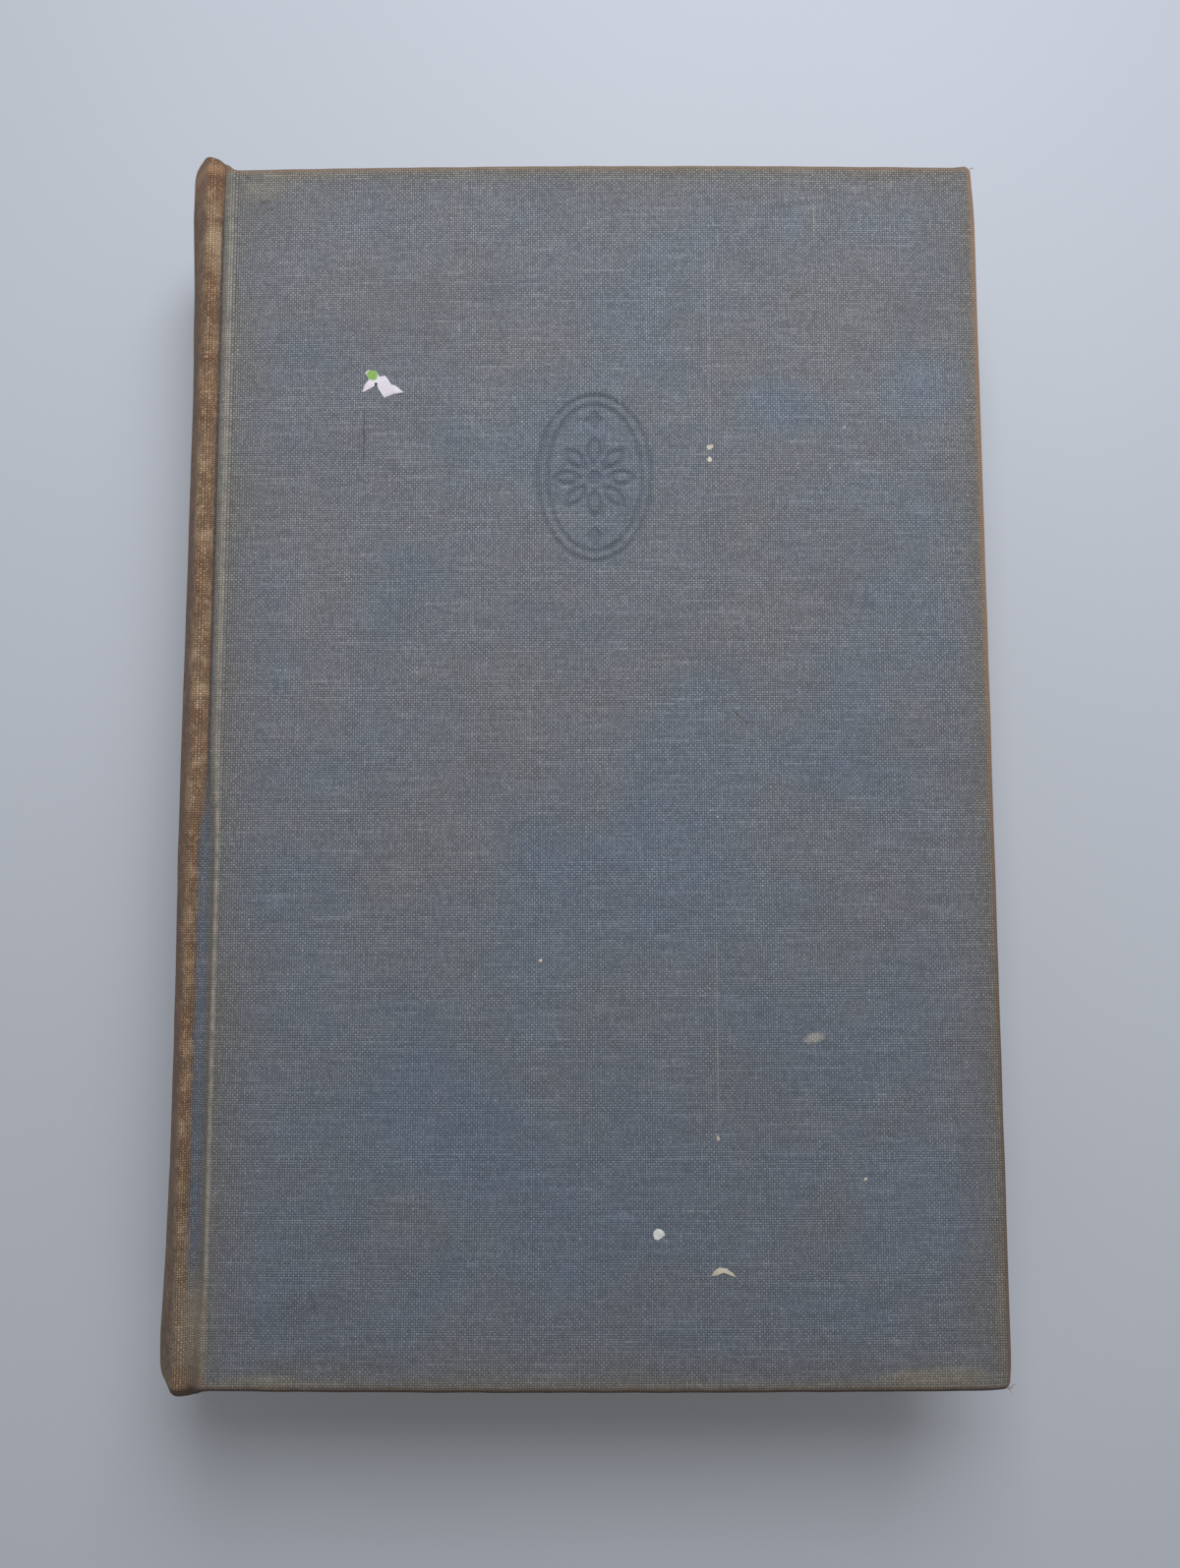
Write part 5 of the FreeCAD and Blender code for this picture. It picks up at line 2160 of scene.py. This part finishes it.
PALE, DARK, BLUE = linear(168, 164, 156), linear(58, 52, 48), linear(92, 112, 138)
TAN = linear(138, 130, 114)
FRONT_MARKS = (
    Mark(65.0, 66.7, 14.0, 9.0, BLUE, 0.3, 0.3),
    Mark(39.4, 63.0, 12.0, 7.0, BLUE, 0.3),
    Mark(58.0, -80.0, 16.0, 18.0, BLUE, 0.25),
    Mark(-45.0, 20.0, 10.0, 30.0, linear(112, 106, 102), 0.3),
    Mark(-57.5, 106.5, 8.0, 4.5, TAN, 0.45, 0.2, 0.9, 0.8),
    Mark(-58.4, 103.3, 2.4, 0.5, DARK, 0.6, 0.15, 0.7, 0.8),
    Mark(-57.3, 101.9, 1.8, 0.35, DARK, 0.5, 0.1, 0.7, 0.8),
    Mark(42.0, 84.8, 2.4, 1.2, DARK, 0.4, 0.4),
    Mark(42.4, -51.7, 2.4, 1.2, PALE, 0.65, 0.2),
    Mark(-38.65, 57.2, 0.3, 8.0, DARK, 0.75, 0.0, 0.6, 0.6),
    Mark(30.2, 5.4, 3.0, 0.3, DARK, 0.7, -0.75, 0.6, 0.6),
    Mark(25.2, 76.0, 0.3, 30.0, PALE, 0.2, 0.0, 0.8, 0.8),
    Mark(25.4, -48.0, 0.3, 33.0, PALE, 0.2, 0.0, 0.8, 0.8),
    Mark(45.2, 99.0, 0.3, 6.5, PALE, 0.3, 0.0, 0.8, 0.8),
    Mark(-51.0, 108.8, 12.0, 1.2, TAN, 0.6, 0.0, 0.8, 1.0),
    Mark(-60.0, 106.6, 3.4, 1.3, TAN, 0.45, 0.45, 0.8, 1.0),
    Mark(-42.0, -107.2, 20.0, 2.6, DARK, 0.28, 0.04, 0.9, 0.9),
    Mark(-48.0, -99.0, 9.0, 6.0, DARK, 0.2, 0.5, 0.9, 0.8),
    Mark(35.0, -107.6, 36.0, 2.2, DARK, 0.22, 0.0, 0.9, 0.9),
    Mark(-53.0, -110.0, 9.5, 1.5, TAN, 0.7, 0.0, 0.8, 1.2),
    Mark(62.5, -109.4, 12.5, 2.4, TAN, 0.65, 0.03, 0.6, 0.9),
    Mark(74.0, -98.0, 1.6, 12.0, TAN, 0.5, 0.0, 0.8, 0.9),
)


def dress_kept_nodes(effects: EffectShelf, plan: BookPlan, spine: SpineCloth) -> None:
    """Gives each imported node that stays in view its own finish, and adds the paper parts that share them.

    Args:
        effects: the shared node groups.
        plan: where the book's edges are.
        spine: the spine cloth, which the inlay is cut to fit.
    """
    paste = Paper("endpaper", linear(204, 194, 170), linear(170, 149, 115))
    lining = Paper("brown lining paper", linear(158, 134, 98), linear(120, 98, 70), foxing=0.1)
    corners = ((plan.joint_x, plan.tail_y + 3), (plan.fore_x - 3, plan.head_y - 3))
    finishes = {
        "endpaper": paste.material(effects, *corners),
        "lining_paper": lining.material(effects, *corners),
        "greyboard": GreyBoard().material(effects),
        "mull": Gauze().material(effects),
    }
    kept = {
        "front_flyleaf": "endpaper", "back_flyleaf": "endpaper", "front_pastedown": "endpaper",
        "back_pastedown": "endpaper", "mull": "mull", "spine_lining": "lining_paper",
        "front_board": "greyboard", "back_board": "greyboard",
    }
    for node, finish in kept.items():
        made = frame["nodes"][node]
        made.data.materials.clear()
        made.data.materials.append(finishes[finish])
        log.info("%s: finished as %s", node, finish)
    for side in Side:
        EndpaperJoint(plan, finishes["endpaper"]).build(side)
    spine.build_inlay(finishes["lining_paper"])


LABEL_OUTLINE = (
    (-38.66, 69.86), (-38.12, 70.52), (-36.48, 70.33), (-35.91, 69.28), (-34.82, 69.47), (-33.70, 67.77),
    (-32.79, 67.39), (-31.31, 66.15), (-33.31, 65.78), (-34.94, 65.13), (-36.06, 66.83), (-36.63, 68.15),
    (-37.72, 67.87), (-38.60, 66.36), (-39.15, 66.18), (-38.63, 67.78), (-37.91, 68.72),
)
CRESCENT_OUTLINE = (
    (23.9, -92.4), (24.3, -91.6), (25.3, -90.95), (26.4, -91.1), (27.6, -91.9), (28.2, -92.6), (27.2, -92.1),
    (26.2, -91.6), (25.4, -91.6), (24.9, -92.3),
)


def build_small_things(effects: EffectShelf, plan: BookPlan) -> None:
    """Makes the label scrap, the specks and the drop on the front cover.

    Args:
        effects: the shared node groups.
        plan: where the cover is.
    """
    label = Scrap("label scrap", linear(186, 183, 194), linear(98, 142, 40), (-37.29, 69.57), 1.25).material(effects)
    scrap = StuckPiece(plan, label, 0.12, curl=0.12, seed=2)
    scrap.build("label_scrap", "label_paper", LABEL_OUTLINE, ["label_remnant"])
    cream = Scrap("cream speck", linear(168, 163, 148), linear(180, 160, 120), grime=0.4).material(effects)
    white = Scrap("dried paint", linear(194, 197, 200), linear(160, 164, 168), grime=0.4).material(effects)
    speck = StuckPiece(plan, cream, 0.12, dome=0.06, seed=5)
    paint = StuckPiece(plan, white, 0.12, dome=0.1, seed=7)
    for name, maker, outline in (
        ("cream_speck_1", speck, blob(25.2, 55.6, 0.7, 0.5, 0.3, seed=1)),
        ("cream_speck_2", speck, blob(25.15, 53.2, 0.45, 0.6, 0.2, seed=2)),
        ("paint_drop", paint, blob(14.8, -85.4, 1.2, 0.95, 0.5, seed=3)),
        ("cream_crescent", speck, CRESCENT_OUTLINE),
        ("cream_speck_3", speck, blob(25.3, -69.1, 0.25, 0.5, 0.1, seed=4)),
        ("cream_speck_4", speck, blob(50.9, -76.1, 0.4, 0.3, 0.6, seed=5)),
        ("cream_speck_5", speck, blob(-5.8, -38.2, 0.35, 0.3, 0.6, seed=6)),
    ):
        maker.build(name, "label_paper", outline)


def fray_corners(plan: BookPlan, finish: bpy.types.Material) -> None:
    """Plants loose thread ends on the two fore-edge corners of the front cover.

    Args:
        plan: where the corners are.
        finish: the threads' material.
    """
    draws = np.random.default_rng(8)
    for name, y, count in (("frayed_tail_corner", plan.tail_y, 9), ("frayed_head_corner", plan.head_y, 4)):
        inward = 1 if y < plan.middle_y else -1
        spots = []
        for _ in range(count):
            x, step = draws.uniform(0.35, 1.6), draws.uniform(0.3, 0.9)
            spots.append((plan.fore_x - x, y + inward * step, plan.top_z - draws.uniform(0.2, 1.2)))
        FrayedThreads(finish, seed=4 + count).build(name, "front_cover", spots)


def main() -> None:
    """Builds the room and the book, piece by piece."""
    Studio().build()
    plan = BookPlan.from_frame()
    effects = EffectShelf()
    spine = SpineCloth(plan)
    front = BookCloth("front cloth", marks=FRONT_MARKS).material(effects, plan, spine.groove())
    back = BookCloth("back cloth", seed=3.1, wear=Wear.LIGHT).material(effects, plan, spine.groove())
    ornament = StampedOrnament(plan.joint_x + 68.4, plan.head_y - 60.4)
    CoverCloth(plan, Side.FRONT, front, ornament).build("front_cover_cloth", "front_cover", "front_cloth")
    CoverCloth(plan, Side.BACK, back, seed=9).build("back_cover_cloth", "back_cover", "back_cloth")
    spine.build(Side.FRONT, front, ["spine_cloth"])
    spine.build(Side.BACK, back, [])
    Leaves(plan, LeafEdges().material(effects, plan)).build()
    thread = BandThread().material(effects)
    HeadBand(plan, thread).build("head_band_wound", plan.leaves_high[1] + 1.0, "head_band")
    HeadBand(plan, thread).build("tail_band_wound", plan.leaves_low[1] - 1.0, "tail_band")
    fray_corners(plan, GreyBoard("loose thread", linear(150, 136, 112), linear(112, 98, 78)).material(effects))
    dress_kept_nodes(effects, plan, spine)
    build_small_things(effects, plan)


if __name__ == "__main__":
    logging.basicConfig(level=logging.INFO, format="%(message)s")
    main()
